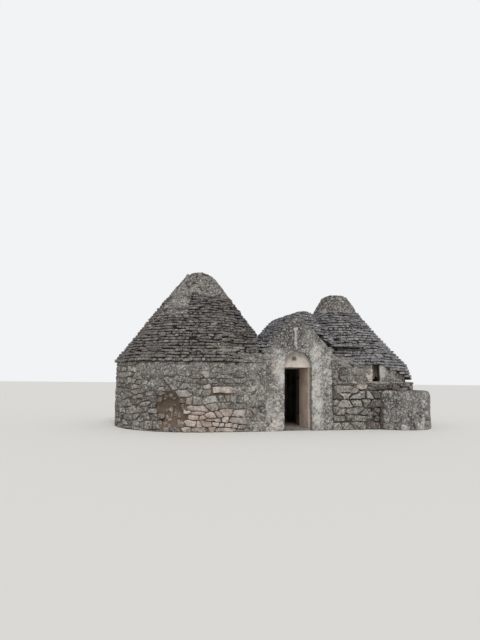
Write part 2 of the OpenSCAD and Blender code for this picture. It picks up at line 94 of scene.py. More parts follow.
# The hall roof: its axis, the ends of its ridge, and its half width at the ridge and at the eave
HALL_X, HALL_Y, HALL_R, HALL_H = 0.6, (-1.6, 1.0), (0.15, 1.70), 23 * STEP_H
# How much wider the neck between the hall roof and the right cone is, and where it ends
NECK_W, NECK_END = 0.2, AXIS_X[RIGHT] - 0.4
# The gable's top, sideways and up, and how far over the eave its left and right foot stand
GABLE_TOP, GABLE_FOOT = (0.13, 3.49), (0.19, 0.18)
# The round annex: its radius, its middle and its height
ANNEX_R = 1.2
ANNEX = (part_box("annex")[1].x - ANNEX_R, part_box("annex")[0].y + ANNEX_R)
ANNEX_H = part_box("annex")[1].z
# The hollow of fallen stones is a ball: its radius, how far from the left drum's axis its middle
# lies, at what angle and how high
HOLLOW_R, HOLLOW_OUT, HOLLOW_AT, HOLLOW_H = 0.70, 3.12, math.radians(243), 0.62
HOLLOW = np.array([HOLLOW_OUT * math.cos(HOLLOW_AT), HOLLOW_OUT * math.sin(HOLLOW_AT)])
# The long pale block in the left wall: its middle and its half length and half height with a joint
PALE_BLOCK, PALE_HALF = (-2.31, 1.21), (0.345, 0.115)
# Where the porch's plaster stops at each side and rubble covers its piers
PIER_EDGE = (GABLE[0] + 0.13, GABLE[1] - 0.19)
# How far the mortar between the wall stones stands back
BED = -0.046
# How far a roof slab's front stands from its course line
SLAB_OUT = -0.008
# Roof slabs: the share of short ones left out, the share split into two flakes, and how deep inside
# another roof one has to lie to be left out
GAPS, FLAKES, COVERED = 0.02, 0.10, 0.16
# Middles of the stones that show in a mortared face, the share of small stones left out over such a
# face, and how wide the joints between them are
SPOTS, BARE, JOINT = 300, 0.35, 0.035
# The noise that chips the stones, and how close points of the frame have to lie to be one
CHIP, WELD = 0.07, 0.0002
# Spacing of the points that the wall stones grow from, and the half width of the largest cell
SITE, CELL = 0.07, 0.4
# The sine of a stone's number times one of these is that stone's own value
OWN_HEIGHT, OWN_TONE = 12.9898, 78.233


def linear(code):
    """Turns an sRGB hex value into linear colour."""
    parts = [int(code[i : i + 2], 16) / 255 for i in (1, 3, 5)]
    return tuple(c / 12.92 if c <= 0.04045 else ((c + 0.055) / 1.055) ** 2.4 for c in parts)


def dim(tone, share):
    """A colour at a share of its brightness, ready for a shader."""
    return (*np.minimum(1, np.array(tone[:3]) * share).tolist(), 1.0)


def length(label, text, value, low, high):
    """One length property."""
    return FloatProperty(name=label, description=text, default=value, min=low, max=high,
                         unit="LENGTH", subtype="DISTANCE")


def colour(label, text, code):
    """One colour property with its sRGB default."""
    return FloatVectorProperty(
        name=label, description=text, default=linear(code), min=0, max=1, size=3, subtype="COLOR")


class TrulloSizes(bpy.types.PropertyGroup):
    """Sizes of the stonework that a user would change."""

    course_h: length("Slab course", "Height of one course of roof slabs", 0.094, 0.03, 0.15)
    slab_l: length("Slab length", "Usual length of a roof slab along its course", 0.29, 0.1, 0.8)
    slab_d: length("Slab depth", "How deep a roof slab reaches into the cone", 0.24, 0.1, 0.3)
    bed_in: length("Packing depth", "How far the packing behind the slabs stands back", 0.085, 0.02, 0.15)
    wall_bed: length("Wall bed depth", "How far the bed of the wall stones stands back", 0.060, 0.02, 0.15)
    stone_l: length("Wall stone length", "Usual length of a wall stone", 0.34, 0.15, 0.8)
    stone_h: length("Wall stone height", "Usual height of a wall stone", 0.19, 0.08, 0.5)
    joint_w: length("Joint width", "Usual width of the joint between wall stones", 0.009, 0.002, 0.05)
    proud: length("Stone relief", "How far the wall stones stand out of their bed", 0.052, 0.01, 0.09)
    grid: length("Mortar grid", "Mesh spacing of the mortar and plaster", 0.030, 0.01, 0.08)
    seed: IntProperty(name="Seed", description="Choice of random stones", default=7, min=1)


class TrulloColours(bpy.types.PropertyGroup):
    """Colours of the finishes that a user would change."""

    slab_dark: colour("Slab, dark", "Weathered shade side of the roof slabs", "#646465")
    slab_mid: colour("Slab, middle", "Usual colour of the roof slabs", "#8c8a8b")
    slab_pale: colour("Slab, pale", "Freshly split and sunlit roof slabs", "#b0aeac")
    rubble_dark: colour("Rubble, dark", "Lichened wall stones", "#625e5a")
    rubble_mid: colour("Rubble, middle", "Usual colour of the wall stones", "#8b8680")
    rubble_pale: colour("Rubble, pale", "Palest wall stones", "#b3ada5")
    fresh: colour("Fresh stone", "Stone laid bare where the lichen is gone", "#bfb1a6")
    mortar: colour("Mortar", "Old lime mortar", "#7f7c79")
    lime: colour("Limewash", "Weathered limewash", "#c2c0bb")
    lichen: colour("Lichen", "Grey-black lichen on plaster", "#474745")
    cut: colour("Cut stone", "Worked limestone of the doorway", "#c6b6a9")
    cut_pale: colour("Arch stone", "Paler worked limestone over the door", "#cfc6bd")
    earth: colour("Earth", "Brown earth core of the walls", "#6e6053")
    door: colour("Door wood", "Old dark boards", "#3e3833")
    shutter: colour("Shutter wood", "Silvered bare boards", "#8a8379")
    rust: colour("Rust", "Rusted iron", "#4d3426")
    scale: colour("Iron scale", "Dark scale of the forged iron", "#302c29")
    floor: colour("Studio floor", "Pale floor round the house", "#d6d4cf")


# ---- Shapes in numbers ----------------------------------------------------------------------


def noise(points, size, seed=0, octaves=1):
    """Smooth seeded noise from -1 to 1 at each point, with lumps about size metres across."""
    total, weight, norm = 0.0, 1.0, 0.0
    for octave in range(octaves):
        q = np.asarray(points, float) / size * 2**octave + seed * 7.31 + octave * 3.7
        cell = np.floor(q).astype(np.int64)
        f = q - cell
        f = f * f * (3 - 2 * f)
        value = 0.0
        for corner in range(8):
            step = np.array([corner & 1, corner >> 1 & 1, corner >> 2 & 1])
            i = cell + step
            n = (i[:, 0] * 73856093) ^ (i[:, 1] * 19349663) ^ (i[:, 2] * 83492791) ^ (seed * 40503)
            n = (n ^ (n >> 13)) * 1274126177
            n = ((n ^ (n >> 16)) & 0xFFFF) / 32767.5 - 1
            value = value + n * np.prod(np.where(step, f, 1 - f), axis=1)
        total, norm, weight = total + weight * value, norm + weight, weight * 0.5
    return total / norm


def lumpy(points, size, number, octaves=1):
    """Noise with the seed that the user chose; each number gives a noise of its own."""
    return noise(points, size, bpy.context.scene.trullo_sizes.seed + number, octaves)


def smoothstep(low, high, value):
    """0 below low, 1 above high and a soft step between them; low may be the larger."""
    t = np.clip((value - low) / (high - low), 0, 1)
    return t * t * (3 - 2 * t)


def hump(value, middle, width):
    """A soft bump of height 1 about the middle."""
    return np.exp(-(((value - middle) / width) ** 2))


def stack(*columns):
    """Puts values side by side, one row for each point."""
    return np.stack(np.broadcast_arrays(*columns), -1)


def cracks(points, seeds):
    """How far each point lies from the border between its two nearest seeds, and the nearest one."""
    gap, nearest = np.empty(len(points)), np.empty(len(points), int)
    for start in range(0, len(points), 4000):
        part = slice(start, start + 4000)
        d = np.linalg.norm(points[part, None] - seeds[None], axis=2)
        two = np.argpartition(d, 1, axis=1)[:, :2]
        both = np.take_along_axis(d, two, 1)
        gap[part] = np.abs(both[:, 1] - both[:, 0]) / 2
        nearest[part] = np.take_along_axis(two, np.argmin(both, axis=1)[:, None], 1)[:, 0]
    return gap, nearest


def cone_r(side, z):
    """Radius of a cone's slope at height z."""
    rise = np.clip((z - EAVE_H) / (TOP_H[side] - EAVE_H), 0, 1)
    return TOP_R[side] + (EAVE_R[side] - TOP_R[side]) * (1 - rise) ** FLARE[side]


def hall_r(z):
    """Half width of the hall roof at height z."""
    return HALL_R[0] + (HALL_R[1] - HALL_R[0]) * np.clip(1 - (z - EAVE_H) / HALL_H, 0, 1) ** 0.95


def gable_top(x):
    """Height of the gable's edge at x."""
    feet = [EAVE_H + foot for foot in GABLE_FOOT]
    return np.interp(x, [GABLE[0], GABLE_TOP[0], GABLE[1]], [feet[0], GABLE_TOP[1], feet[1]])


def courses_to(z):
    """Number of slab courses from the eave to height z."""
    return int(round((z - EAVE_H) / bpy.context.scene.trullo_sizes.course_h))


# ---- Pieces ---------------------------------------------------------------------------------


def only(obj=None):
    """Makes obj the one selected and active object, or selects nothing."""
    if bpy.context.object and bpy.context.object.mode != "OBJECT":
        bpy.ops.object.mode_set(mode="OBJECT")
    bpy.ops.object.select_all(action="DESELECT")
    if obj:
        obj.select_set(True)
        bpy.context.view_layer.objects.active = obj


def finish(obj, slot, *finishes, smooth=None, replaces=()):
    """Gives a piece of the house its finish, and hides the nodes that it stands for."""
    obj.data.materials.clear()
    for name in finishes:
        obj.data.materials.append(finish_for(name))
    if smooth is not None:
        only(obj)
        bpy.ops.object.shade_smooth_by_angle(angle=math.radians(smooth))
    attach(obj, "house")
    if replaces:
        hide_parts(*replaces)
    only()
    return obj


class Heap:
    """Gathers many small stones into one mesh with a colour for each stone."""

    def __init__(self):
        self.points, self.faces, self.tints, self.count = [], [], [], 0

    def add(self, points, faces, tint=0.0):
        """Adds a stone with one tint for all of it or one for each of its points."""
        self.points.append(np.asarray(points, float))
        self.faces.extend([[i + self.count for i in face] for face in faces])
        tint = np.atleast_2d(np.asarray(tint, float))
        values = np.zeros((len(points), 4))
        values[:, : tint.shape[1]] = tint
        self.tints.append(values)
        self.count += len(points)

    def piece(self, name, slot, *finishes, rough=0.0, seed=1, smooth=None, replaces=()):
        """Makes the piece, its points moved a little for a chipped look and kept in the frame's box."""
        points = np.concatenate(self.points)
        if rough:
            for axis in range(3):
                points[:, axis] += rough * noise(points, CHIP, seed + axis, 2)
        mesh = bpy.data.meshes.new(name)
        mesh.from_pydata(np.clip(points, *CAD_BOX).tolist(), [], self.faces)
        tint = mesh.attributes.new("tint", "FLOAT_COLOR", "POINT")
        tint.data.foreach_set("color", np.concatenate(self.tints).ravel())
        mesh.update()
        obj = bpy.data.objects.new(name, mesh)
        bpy.context.scene.collection.objects.link(obj)
        return finish(obj, slot, *finishes, smooth=smooth, replaces=replaces)


def take_mesh(obj):
    """Points and faces of an object, which goes away."""
    points = np.empty(len(obj.data.vertices) * 3)
    obj.data.vertices.foreach_get("co", points)
    faces = [list(p.vertices) for p in obj.data.polygons]
    bpy.data.objects.remove(obj)
    return points.reshape(-1, 3), faces


def node_copy(name, *nodes):
    """A joined copy of frame nodes as one merged mesh."""
    only()
    for word in nodes:
        copy = bpy.data.objects.new(name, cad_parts[word].data.copy())
        bpy.context.scene.collection.objects.link(copy)
        copy.select_set(True)
        if word == nodes[0]:
            bpy.context.view_layer.objects.active = copy
    if len(nodes) > 1:
        bpy.ops.object.join()
    obj = bpy.context.object
    only(obj)
    bpy.ops.object.mode_set(mode="EDIT")
    bpy.ops.mesh.select_all(action="SELECT")
    bpy.ops.mesh.remove_doubles(threshold=WELD)
    bpy.ops.object.mode_set(mode="OBJECT")
    obj.name = name
    return obj


def carve(name, nodes, voxel, height, tint=None):
    """A copy of nodes with even faces, each point moved out by height(points, normals) and tinted."""
    obj = node_copy(name, *nodes)
    only(obj)
    obj.data.remesh_voxel_size = voxel
    bpy.ops.object.voxel_remesh()
    count = len(obj.data.vertices)
    points, normals = np.empty(count * 3), np.empty(count * 3)
    obj.data.vertices.foreach_get("co", points)
    obj.data.vertices.foreach_get("normal", normals)
    points, normals = points.reshape(-1, 3), normals.reshape(-1, 3)
    moved = np.clip(points + normals * height(points, normals)[:, None], *CAD_BOX)
    obj.data.vertices.foreach_set("co", moved.ravel())
    obj.data.update()
    values = np.zeros((count, 4))
    if tint is not None:
        found = tint(moved, normals)
        values[:, : found.shape[1]] = found
    for old in list(obj.data.attributes):
        if old.name == "tint":
            obj.data.attributes.remove(old)
    obj.data.attributes.new("tint", "FLOAT_COLOR", "POINT").data.foreach_set("color", values.ravel())
    return obj


# ---- Materials ------------------------------------------------------------------------------


def node(tree, kind, inputs=None, out=0, **settings):
    """Adds a shader node with its settings, values and links, and gives the outputs asked for."""
    made = tree.nodes.new("ShaderNode" + kind)
    for key, value in settings.items():
        setattr(made, key, value)
    for key, value in (inputs or {}).items():
        if isinstance(value, bpy.types.NodeSocket):
            tree.links.new(value, made.inputs[key])
        else:
            made.inputs[key].default_value = value
    if isinstance(out, tuple):
        return [made.outputs[key] for key in out]
    return made.outputs[out] if len(made.outputs) else None


def start_material(name):
    """Starts an empty material and gives what adds nodes to it."""
    material = bpy.data.materials.new(name)
    material.use_nodes = True
    material.node_tree.nodes.clear()
    return partial(node, material.node_tree)


def end_material(add, base, layers, bumps, rough, shine, metal=0.0):
    """Lays colours over the base by (factor, blend, colour) and stacks bumps by (height, depth, strength)."""
    for factor, blend, tone in layers:
        base = add("Mix", {0: factor, 6: base, 7: tone}, 2, data_type="RGBA", blend_type=blend)
    normal = {}
    for height, depth, strength in bumps:
        inputs = {"Height": height, "Distance": depth, "Strength": strength, **normal}
        normal = {"Normal": add("Bump", inputs)}
    shader = add("BsdfPrincipled", {"Base Color": base, "Roughness": rough, "Specular IOR Level": shine,
                                    "Metallic": metal, **normal})
    add("OutputMaterial", {"Surface": shader})


def limestone(name, dark, mid, pale, fresh, lichen, growth):
    """Split or weathered limestone: matt, blotched by grey lichen, pale where it was broken.

    The tint attribute holds the stone's own shade, how fresh it is, how proud a point stands and,
    in its alpha, how brown the stone is.
    """
    add = start_material(name)
    place, up = add("TexCoord", out="Object"), add("NewGeometry", out="Normal")
    stored, brown = add("Attribute", out=("Color", "Alpha"), attribute_name="tint")
    shade, clean, stand = add("SeparateColor", {0: stored}, (0, 1, 2))
    cloud, fine, spots, patch, crust = (
        add("TexNoise", {0: place, 2: 1 / size, 3: detail, 4: rough}) for size, detail, rough in
        ((0.22, 4.0, 0.6), (0.018, 3.0, 0.6), (0.045, 3.0, 0.5), (0.10, 3.0, 0.6), (0.05, 3.0, 0.6)))
    facing = add("SeparateXYZ", {0: up}, 2)
    middling, paler, spent, yellow, blotch, dots, dull, pale_dots, lit_from_above = (
        add("MapRange", {0: value, 1: low, 2: high}, interpolation_type="SMOOTHSTEP") for value, low, high in
        ((shade, 0.0, 0.5), (shade, 0.45, 1.0), (cloud, 0.42, 0.60), (cloud, 0.35, 0.75),
         (cloud, 0.40 - 0.1 * growth, 0.62 - 0.1 * growth), (spots, 0.44, 0.56), (patch, 0.56, 0.40),
         (crust, 0.54, 0.66), (facing, 0.5, 0.95)))
    # Crusts of dark lichen spread in blotches and spare the fresh stones
    spread = add("Math", {0: blotch, 1: dots}, operation="MULTIPLY")
    spare = add("Math", {0: 0.9, 1: clean}, operation="SUBTRACT", use_clamp=True)
    crusted = add("Math", {0: spread, 1: spare}, operation="MULTIPLY")
    specks = add("Math", {0: pale_dots, 1: 0.6}, operation="MULTIPLY")
    # Painted shade: darker where the stone goes back into its joint, and lighter where a face turns up to the
    # light
    depth_and_light = add("Math", {0: lit_from_above, 1: 0.5, 2: stand}, operation="MULTIPLY_ADD")
    painted_shade = add("MapRange", {0: depth_and_light, 1: 0.55, 2: 0.0}, interpolation_type="SMOOTHSTEP")
    bare, warm, speckle = (
        add("Mix", {0: factor, 6: low, 7: high}, 2, data_type="RGBA") for factor, low, high in
        ((spent, dim(fresh, 1.12), dim(fresh, 0.74)), (yellow, (0.93, 0.95, 1.0, 1), (1.05, 1.0, 0.93, 1)),
         (fine, (0.55, 0.55, 0.55, 1), (1.4, 1.4, 1.4, 1))))
    end_material(
        add, dark,
        ((middling, "MIX", mid), (paler, "MIX", pale), (clean, "MIX", bare),
         (brown, "MULTIPLY", (0.92, 0.72, 0.60, 1)), (0.7, "MULTIPLY", warm), (crusted, "MIX", lichen),
         (dull, "MULTIPLY", (0.76, 0.75, 0.75, 1)), (specks, "MIX", dim(pale, 1.3)),
         (0.35, "MULTIPLY", speckle), (painted_shade, "MULTIPLY", (0.28, 0.26, 0.25, 1))),
        ((cloud, 0.03, 0.4), (spots, 0.015, 0.8), (fine, 0.004, 0.7)), 0.92, 0.25)


def lime_plaster(name, mortar, lime, lichen):
    """Old lime plaster: chalky white where it lasts, grey mortar and black lichen elsewhere.

    The tint attribute holds how white, how lichened and how proud a point is and, in its alpha,
    how brown it is.
    """
    add = start_material(name)
    place = add("TexCoord", out="Object")
    stored, brown = add("Attribute", out=("Color", "Alpha"), attribute_name="tint")
    white, growth, stand = add("SeparateColor", {0: stored}, (0, 1, 2))
    cloud, patch, speck, fine, crumbs, rubbed = (
        add("TexNoise", {0: place, 2: 1 / size, 3: detail, 4: rough}) for size, detail, rough in
        ((0.30, 5.0, 0.62), (0.09, 4.0, 0.6), (0.022, 3.0, 0.6), (0.008, 2.0, 0.6), (0.045, 3.0, 0.6),
         (0.07, 4.0, 0.65)))
    # Pits a few centimetres across
    pitted = add("TexVoronoi", {0: place, 2: 1 / 0.055}, feature="F1")
    # The wash flakes off in patches with ragged edges
    flakes = add("Math", {0: patch, 1: 1.8, 2: -1.55}, operation="MULTIPLY_ADD")
    flakes = add("Math", {0: speck, 1: 1.3, 2: flakes}, operation="MULTIPLY_ADD")
    wear = add("Math", {0: white, 1: flakes}, operation="ADD")
    # Lichen grows where patch and speck together rise over an edge
    edge = add("Math", {0: growth, 1: 0.42, 2: -0.80}, operation="MULTIPLY_ADD")
    rise = add("Math", {0: patch, 1: speck}, operation="ADD")
    over = add("Math", {0: rise, 1: 0.5, 2: edge}, operation="MULTIPLY_ADD")
    # The last band, from how proud a point stands, is painted shade in joints and hollows
    lasting, dusty, black, deep, holed, grit, worn, painted_shade = (
        add("MapRange", {0: value, 1: low, 2: high}, interpolation_type="SMOOTHSTEP") for value, low, high in
        ((wear, 0.30, 0.80), (cloud, 0.42, 0.70), (over, -0.05, 0.04), (pitted, 0.30, 0.12),
         (patch, 0.42, 0.52), (crumbs, 0.52, 0.62), (rubbed, 0.50, 0.38), (stand, 0.7, 0.1)))
    black = add("Math", {0: black, 1: 0.8}, operation="MULTIPLY")
    holes = add("Math", {0: deep, 1: holed}, operation="MULTIPLY")
    grit = add("Math", {0: grit, 1: 0.75}, operation="MULTIPLY")
    speckle = add("Mix", {0: fine, 6: (0.6, 0.6, 0.6, 1), 7: (1.35, 1.35, 1.35, 1)}, 2, data_type="RGBA")
    end_material(
        add, mortar,
        ((lasting, "MIX", lime), (brown, "MULTIPLY", (1.0, 0.80, 0.70, 1)),
         (dusty, "MULTIPLY", (0.84, 0.82, 0.80, 1)), (black, "MIX", lichen),
         (holes, "MULTIPLY", (0.26, 0.25, 0.24, 1)), (grit, "MIX", lime),
         (worn, "MULTIPLY", (0.62, 0.61, 0.60, 1)), (0.3, "MULTIPLY", speckle),
         (painted_shade, "MULTIPLY", (0.32, 0.30, 0.28, 1))),
        ((patch, 0.03, 0.6), (speck, 0.012, 0.8), (fine, 0.003, 0.6)), 0.95, 0.2)


def worked_stone(name, base, stain):
    """Worked limestone: tooling marks a hand can feel, soft stains, no lichen crusts.

    The tint attribute holds how soiled a point is and, on the jambs' fronts, how much painted shade it has.
    """
    add = start_material(name)
    place = add("TexCoord", out="Object")
    soil_and_shade = add("SeparateColor", {0: add("Attribute", out="Color", attribute_name="tint")})
    strokes = add("Mapping", {0: place, 3: (1.0, 1.0, 5.0)})
    cloud, pores, tooled = (
        add("TexNoise", {0: where, 2: 1 / size, 3: detail, 4: rough}) for where, size, detail, rough in
        ((place, 0.25, 4.0, 0.6), (place, 0.02, 3.0, 0.65), (strokes, 0.05, 2.0, 0.5)))
    stained, open_pores, struck = (
        add("MapRange", {0: value, 1: low, 2: high}, interpolation_type="SMOOTHSTEP") for value, low, high in
        ((cloud, 0.40, 0.72), (pores, 0.58, 0.72), (tooled, 0.55, 0.75)))
    end_material(
        add, base,
        ((stained, "MIX", stain), (open_pores, "MULTIPLY", (0.66, 0.63, 0.60, 1)),
         (struck, "MULTIPLY", (1.12, 1.1, 1.08, 1)), (soil_and_shade, "MULTIPLY", (0.34, 0.33, 0.31, 1))),
        ((cloud, 0.012, 0.3), (tooled, 0.004, 0.5), (pores, 0.004, 0.5)), 0.9, 0.25)


def earth_core(name, earth, stone):
    """Earth and rubble core of the walls: brown, crumbly, with bits of stone."""
    add = start_material(name)
    place = add("TexCoord", out="Object")
    lumps, grit = (add("TexNoise", {0: place, 2: 1 / size, 3: detail, 4: rough}) for size, detail, rough in
                   ((0.06, 4.0, 0.65), (0.012, 3.0, 0.6)))
    bits = add("MapRange", {0: lumps, 1: 0.52, 2: 0.68}, interpolation_type="SMOOTHSTEP")
    speckle = add("Mix", {0: grit, 6: (0.4, 0.4, 0.4, 1), 7: (1.5, 1.5, 1.5, 1)}, 2, data_type="RGBA")
    end_material(add, earth, ((bits, "MIX", stone), (0.5, "MULTIPLY", speckle)),
                 ((lumps, 0.03, 0.8), (grit, 0.006, 0.8)), 1.0, 0.1)


def old_wood(name, base, pale):
    """Bare old softwood: raised grain along the boards, silvered ridges and dark checks."""
    add = start_material(name)
    place = add("TexCoord", out="Object")
    rings, fibre, cloud = (
        add("TexNoise", {0: add("Mapping", {0: place, 3: drawn}), 2: 1 / size, 3: detail, 4: 0.6})
        for drawn, size, detail in
        (((14.0, 14.0, 0.9), 0.10, 4.0), ((9.0, 9.0, 0.35), 0.02, 3.0), ((1, 1, 1), 0.3, 3.0)))
    ridges, checks, dusty = (
        add("MapRange", {0: value, 1: low, 2: high}, interpolation_type="SMOOTHSTEP") for value, low, high in
        ((rings, 0.35, 0.70), (fibre, 0.60, 0.72), (cloud, 0.4, 0.8)))
    end_material(
        add, base,
        ((ridges, "MIX", pale), (checks, "MULTIPLY", (0.42, 0.40, 0.38, 1)),
         (dusty, "MULTIPLY", (0.78, 0.77, 0.76, 1))),
        ((rings, 0.004, 0.6), (fibre, 0.002, 0.8)), 0.85, 0.3)


def rusted_iron(name, rust, scale):
    """Forged iron gone to rust: orange blooms over dark scale."""
    add = start_material(name)
    place = add("TexCoord", out="Object")
    bloom, pits = (add("TexNoise", {0: place, 2: 1 / size, 3: detail, 4: rough}) for size, detail, rough in
                   ((0.02, 4.0, 0.65), (0.004, 3.0, 0.6)))
    orange = add("MapRange", {0: bloom, 1: 0.42, 2: 0.65}, interpolation_type="SMOOTHSTEP")
    bumps = (bloom, 0.002, 0.6), (pits, 0.0008, 0.8)
    end_material(add, scale, ((orange, "MIX", rust),), bumps, 0.8, 0.5, 0.35)


def studio_paper(name, tone):
    """Matt pale paper under the house."""
    end_material(start_material(name), tone, (), (), 0.9, 0.5)


# The left cone is darker and browner: warmer stone, and painted shadow of a tree that stands over it
TREE_SHADOW_TINT = np.array((0.80, 0.75, 0.69))
# Each finish: what makes it, its colours, some with a share of their brightness, and how lichened it is
FINISHES = {
    "split_limestone_left": (limestone, ("slab_dark", TREE_SHADOW_TINT), ("slab_mid", TREE_SHADOW_TINT), ("slab_pale", TREE_SHADOW_TINT),
                             "fresh", "lichen", 0.5),
    "split_limestone_right": (limestone, "slab_dark", "slab_mid", "slab_pale", "fresh", "lichen", 0.2),
    "field_limestone": (limestone, "rubble_dark", "rubble_mid", "rubble_pale", "fresh", "lichen", 0.3),
    "inner_limestone": (limestone, ("rubble_mid", 0.8), "rubble_mid", "rubble_pale", "fresh", "lichen", 0.0),
    "inner_limewash": (worked_stone, "lime", ("lime", 0.75)),
    "limewashed_plaster": (lime_plaster, "mortar", "lime", "lichen"),
    "old_lime_mortar": (lime_plaster, ("mortar", 0.95), "lime", "lichen"),
    "worked_limestone": (worked_stone, ("cut", 1.12), ("cut", 0.82)),
    "worked_limestone_pale": (worked_stone, "cut_pale", ("cut_pale", 0.78)),
    "weathered_limestone": (worked_stone, ("earth", 1.5), ("earth", 0.5)),
    "worn_step_limestone": (worked_stone, "rubble_mid", ("rubble_dark", 0.8)),
    "earth_and_rubble": (earth_core, "earth", ("rubble_dark", 0.9)),
    # Very dark: the mortar deep in the joints, partly painted shade there
    "bed_mortar": (earth_core, ("rubble_dark", 0.35), ("rubble_dark", 0.65)),
    "old_board_wood": (old_wood, "door", ("shutter", 0.55)),
    "shutter_wood": (old_wood, ("shutter", 0.45), ("shutter", 0.8)),
    "shutter_brown_wood": (old_wood, ("rust", 1.2), ("shutter", 0.5)),
    "silvered_wood": (old_wood, ("shutter", 0.7), "shutter"),
    "rusted_iron": (rusted_iron, "rust", "scale"),
    "pale_studio_floor": (studio_paper, "floor"),
}


def finish_for(name):
    """The material of that name, made when it is first asked for."""
    if name not in bpy.data.materials:
        make, *parts = FINISHES[name]
        for i, part in enumerate(parts):
            if not isinstance(part, float):
                key, share = (part, 1) if isinstance(part, str) else part
                parts[i] = dim(getattr(bpy.context.scene.trullo_colours, key), share)
        make(name, *parts)
    return bpy.data.materials[name]


def dress(material, *nodes):
    """Gives frame nodes that stay in view a better finish."""
    for name in nodes:
        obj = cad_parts[name]
        obj.data.materials.clear()
        obj.data.materials.append(finish_for(material))


# ---- Roofs ----------------------------------------------------------------------------------


class Path:
    """A line in plan made of straight runs and arcs, walked with the outside on the right.

    A straight run is its two ends, an arc is its middle, its radius and its two angles.
    """

    def __init__(self, *runs):
        self.runs, self.length = [], 0.0
        for run in runs:
            size = math.dist(*run) if len(run) == 2 else run[1] * abs(run[3] - run[2])
            self.runs.append((self.length, size, run))
            self.length += size

    def at(self, along, out):
        """Plan points at distances along the path and out from it, with the outward direction."""
        along, out = np.broadcast_arrays(np.asarray(along, float), np.asarray(out, float))
        points, normals = np.zeros((*along.shape, 2)), np.zeros((*along.shape, 2))
        for index, (first, size, run) in enumerate(self.runs):
            last = index == len(self.runs) - 1
            here = ((along >= first) | (index == 0)) & ((along < first + size) | last)
            t = along - first
            if len(run) == 2:
                a, b = np.array(run)
                way = (b - a) / size
                n = np.broadcast_to([way[1], -way[0]], points.shape)
                p = a + t[..., None] * way + out[..., None] * n
            else:
                middle, r, start, _ = run
                n = np.stack([np.cos(start + t / r), np.sin(start + t / r)], -1)
                p = np.array(middle) + (r + out)[..., None] * n
            points[here], normals[here] = p[here], n[here]
        return points, normals


def arc(side, radius, start, end):
    """An arc about a cone's axis, from one angle in degrees to another."""
    return (AXIS_X[side], 0.0), radius, math.radians(start), math.radians(end)


def straight(start, end, y):
    """A path along the front or the back, from one sideways place to another."""
    return Path(((start, y), (end, y)))


def turned(p, angle):
    """Sideways and outward parts of points turned about the upright axis."""
    c, s = math.cos(angle), math.sin(angle)
    return p[:, 0] * c - p[:, 1] * s, p[:, 0] * s + p[:, 1] * c


def slab_blank(seed):
    """One roof slab, cut from a cube: chamfered front edges, a broken end, uneven faces."""
    only()
    bpy.ops.mesh.primitive_cube_add(size=1, location=(0, 0, 0))
    obj = bpy.context.object
    bpy.ops.object.mode_set(mode="EDIT")
    mesh = bmesh.from_edit_mesh(obj.data)
    for edge in mesh.edges:
        a, b = (v.co for v in edge.verts)
        edge.select_set(min(a.y, b.y) > 0.4 and abs(a.x - b.x) > 0.5)
    bmesh.update_edit_mesh(obj.data)
    bpy.ops.mesh.bevel(offset=0.20, segments=1)
    rng = np.random.default_rng(seed)
    # Cuts across give the faces points to break at
    for x in (-0.40, -0.2, rng.uniform(-0.05, 0.05), 0.22, 0.41):
        bpy.ops.mesh.select_all(action="SELECT")
        bpy.ops.mesh.bisect(plane_co=(x, 0, 0), plane_no=(1, 0, 0))
    bpy.ops.mesh.select_all(action="SELECT")
    bpy.ops.transform.vertex_random(offset=0.055, seed=seed)
    bpy.ops.object.mode_set(mode="OBJECT")
    points, faces = take_mesh(obj)
    points[:, 1] -= 0.5
    # Thinner and further back towards both ends, like a split slab with broken corners
    end, front = np.abs(points[:, 0]) * 2, points[:, 1] > -0.3
    points[:, 2] = points[:, 2] * (1 - rng.uniform(0.15, 0.5) * end**2) + 0.5
    points[front, 1] -= (rng.uniform(0.12, 0.26) * end**3)[front]
    points[front & (points[:, 0] > 0.3), 1] -= rng.uniform(0, 0.12)
    return points, faces


def inside_other(side, points, depth):
    """Which points lie deeper than depth inside another roof than the one they belong to."""
    x, y, z = points.T
    hidden = np.zeros(len(points), bool)
    for other in (LEFT, RIGHT):
        if other != side:
            hidden |= (np.hypot(x - AXIS_X[other], y) < cone_r(other, z) - depth) & (z > EAVE_H)
    under = z < SHOULDER_H
    slopes = [np.abs(y) < cone_r(cone, z) - depth for cone in (LEFT, RIGHT)]
    if side != "hall":
        low = under & slopes[LEFT] & (x > GABLE[0] + depth) & (x < GABLE[1] - depth)
        width = hall_r(z) - depth
        ridge = (np.abs(x - HALL_X) < width) & (y > HALL_Y[0]) & (y < HALL_Y[1])
        neck = (np.abs(y) < width + NECK_W) & (x > HALL_X) & (x < AXIS_X[RIGHT])
        hidden |= low | (~under & (z < RIDGE_H) & (ridge | neck))
    if side != "corner":
        hidden |= under & slopes[LEFT] & (x > AXIS_X[LEFT]) & (x < GABLE[0])
        hidden |= under & slopes[RIGHT] & (x > GABLE[1]) & (x < AXIS_X[RIGHT])
    # What the gable hides
    hidden |= (y < -2.2) & (x > GABLE[0] + 0.05) & (x < GABLE[1] - 0.05) & (z < gable_top(x) - 0.1)
    return hidden | (y < -2.5) & (x > GABLE[0] - 0.04) & (x < GABLE[1] + 0.04) & (z > EAVE_H + 0.15)


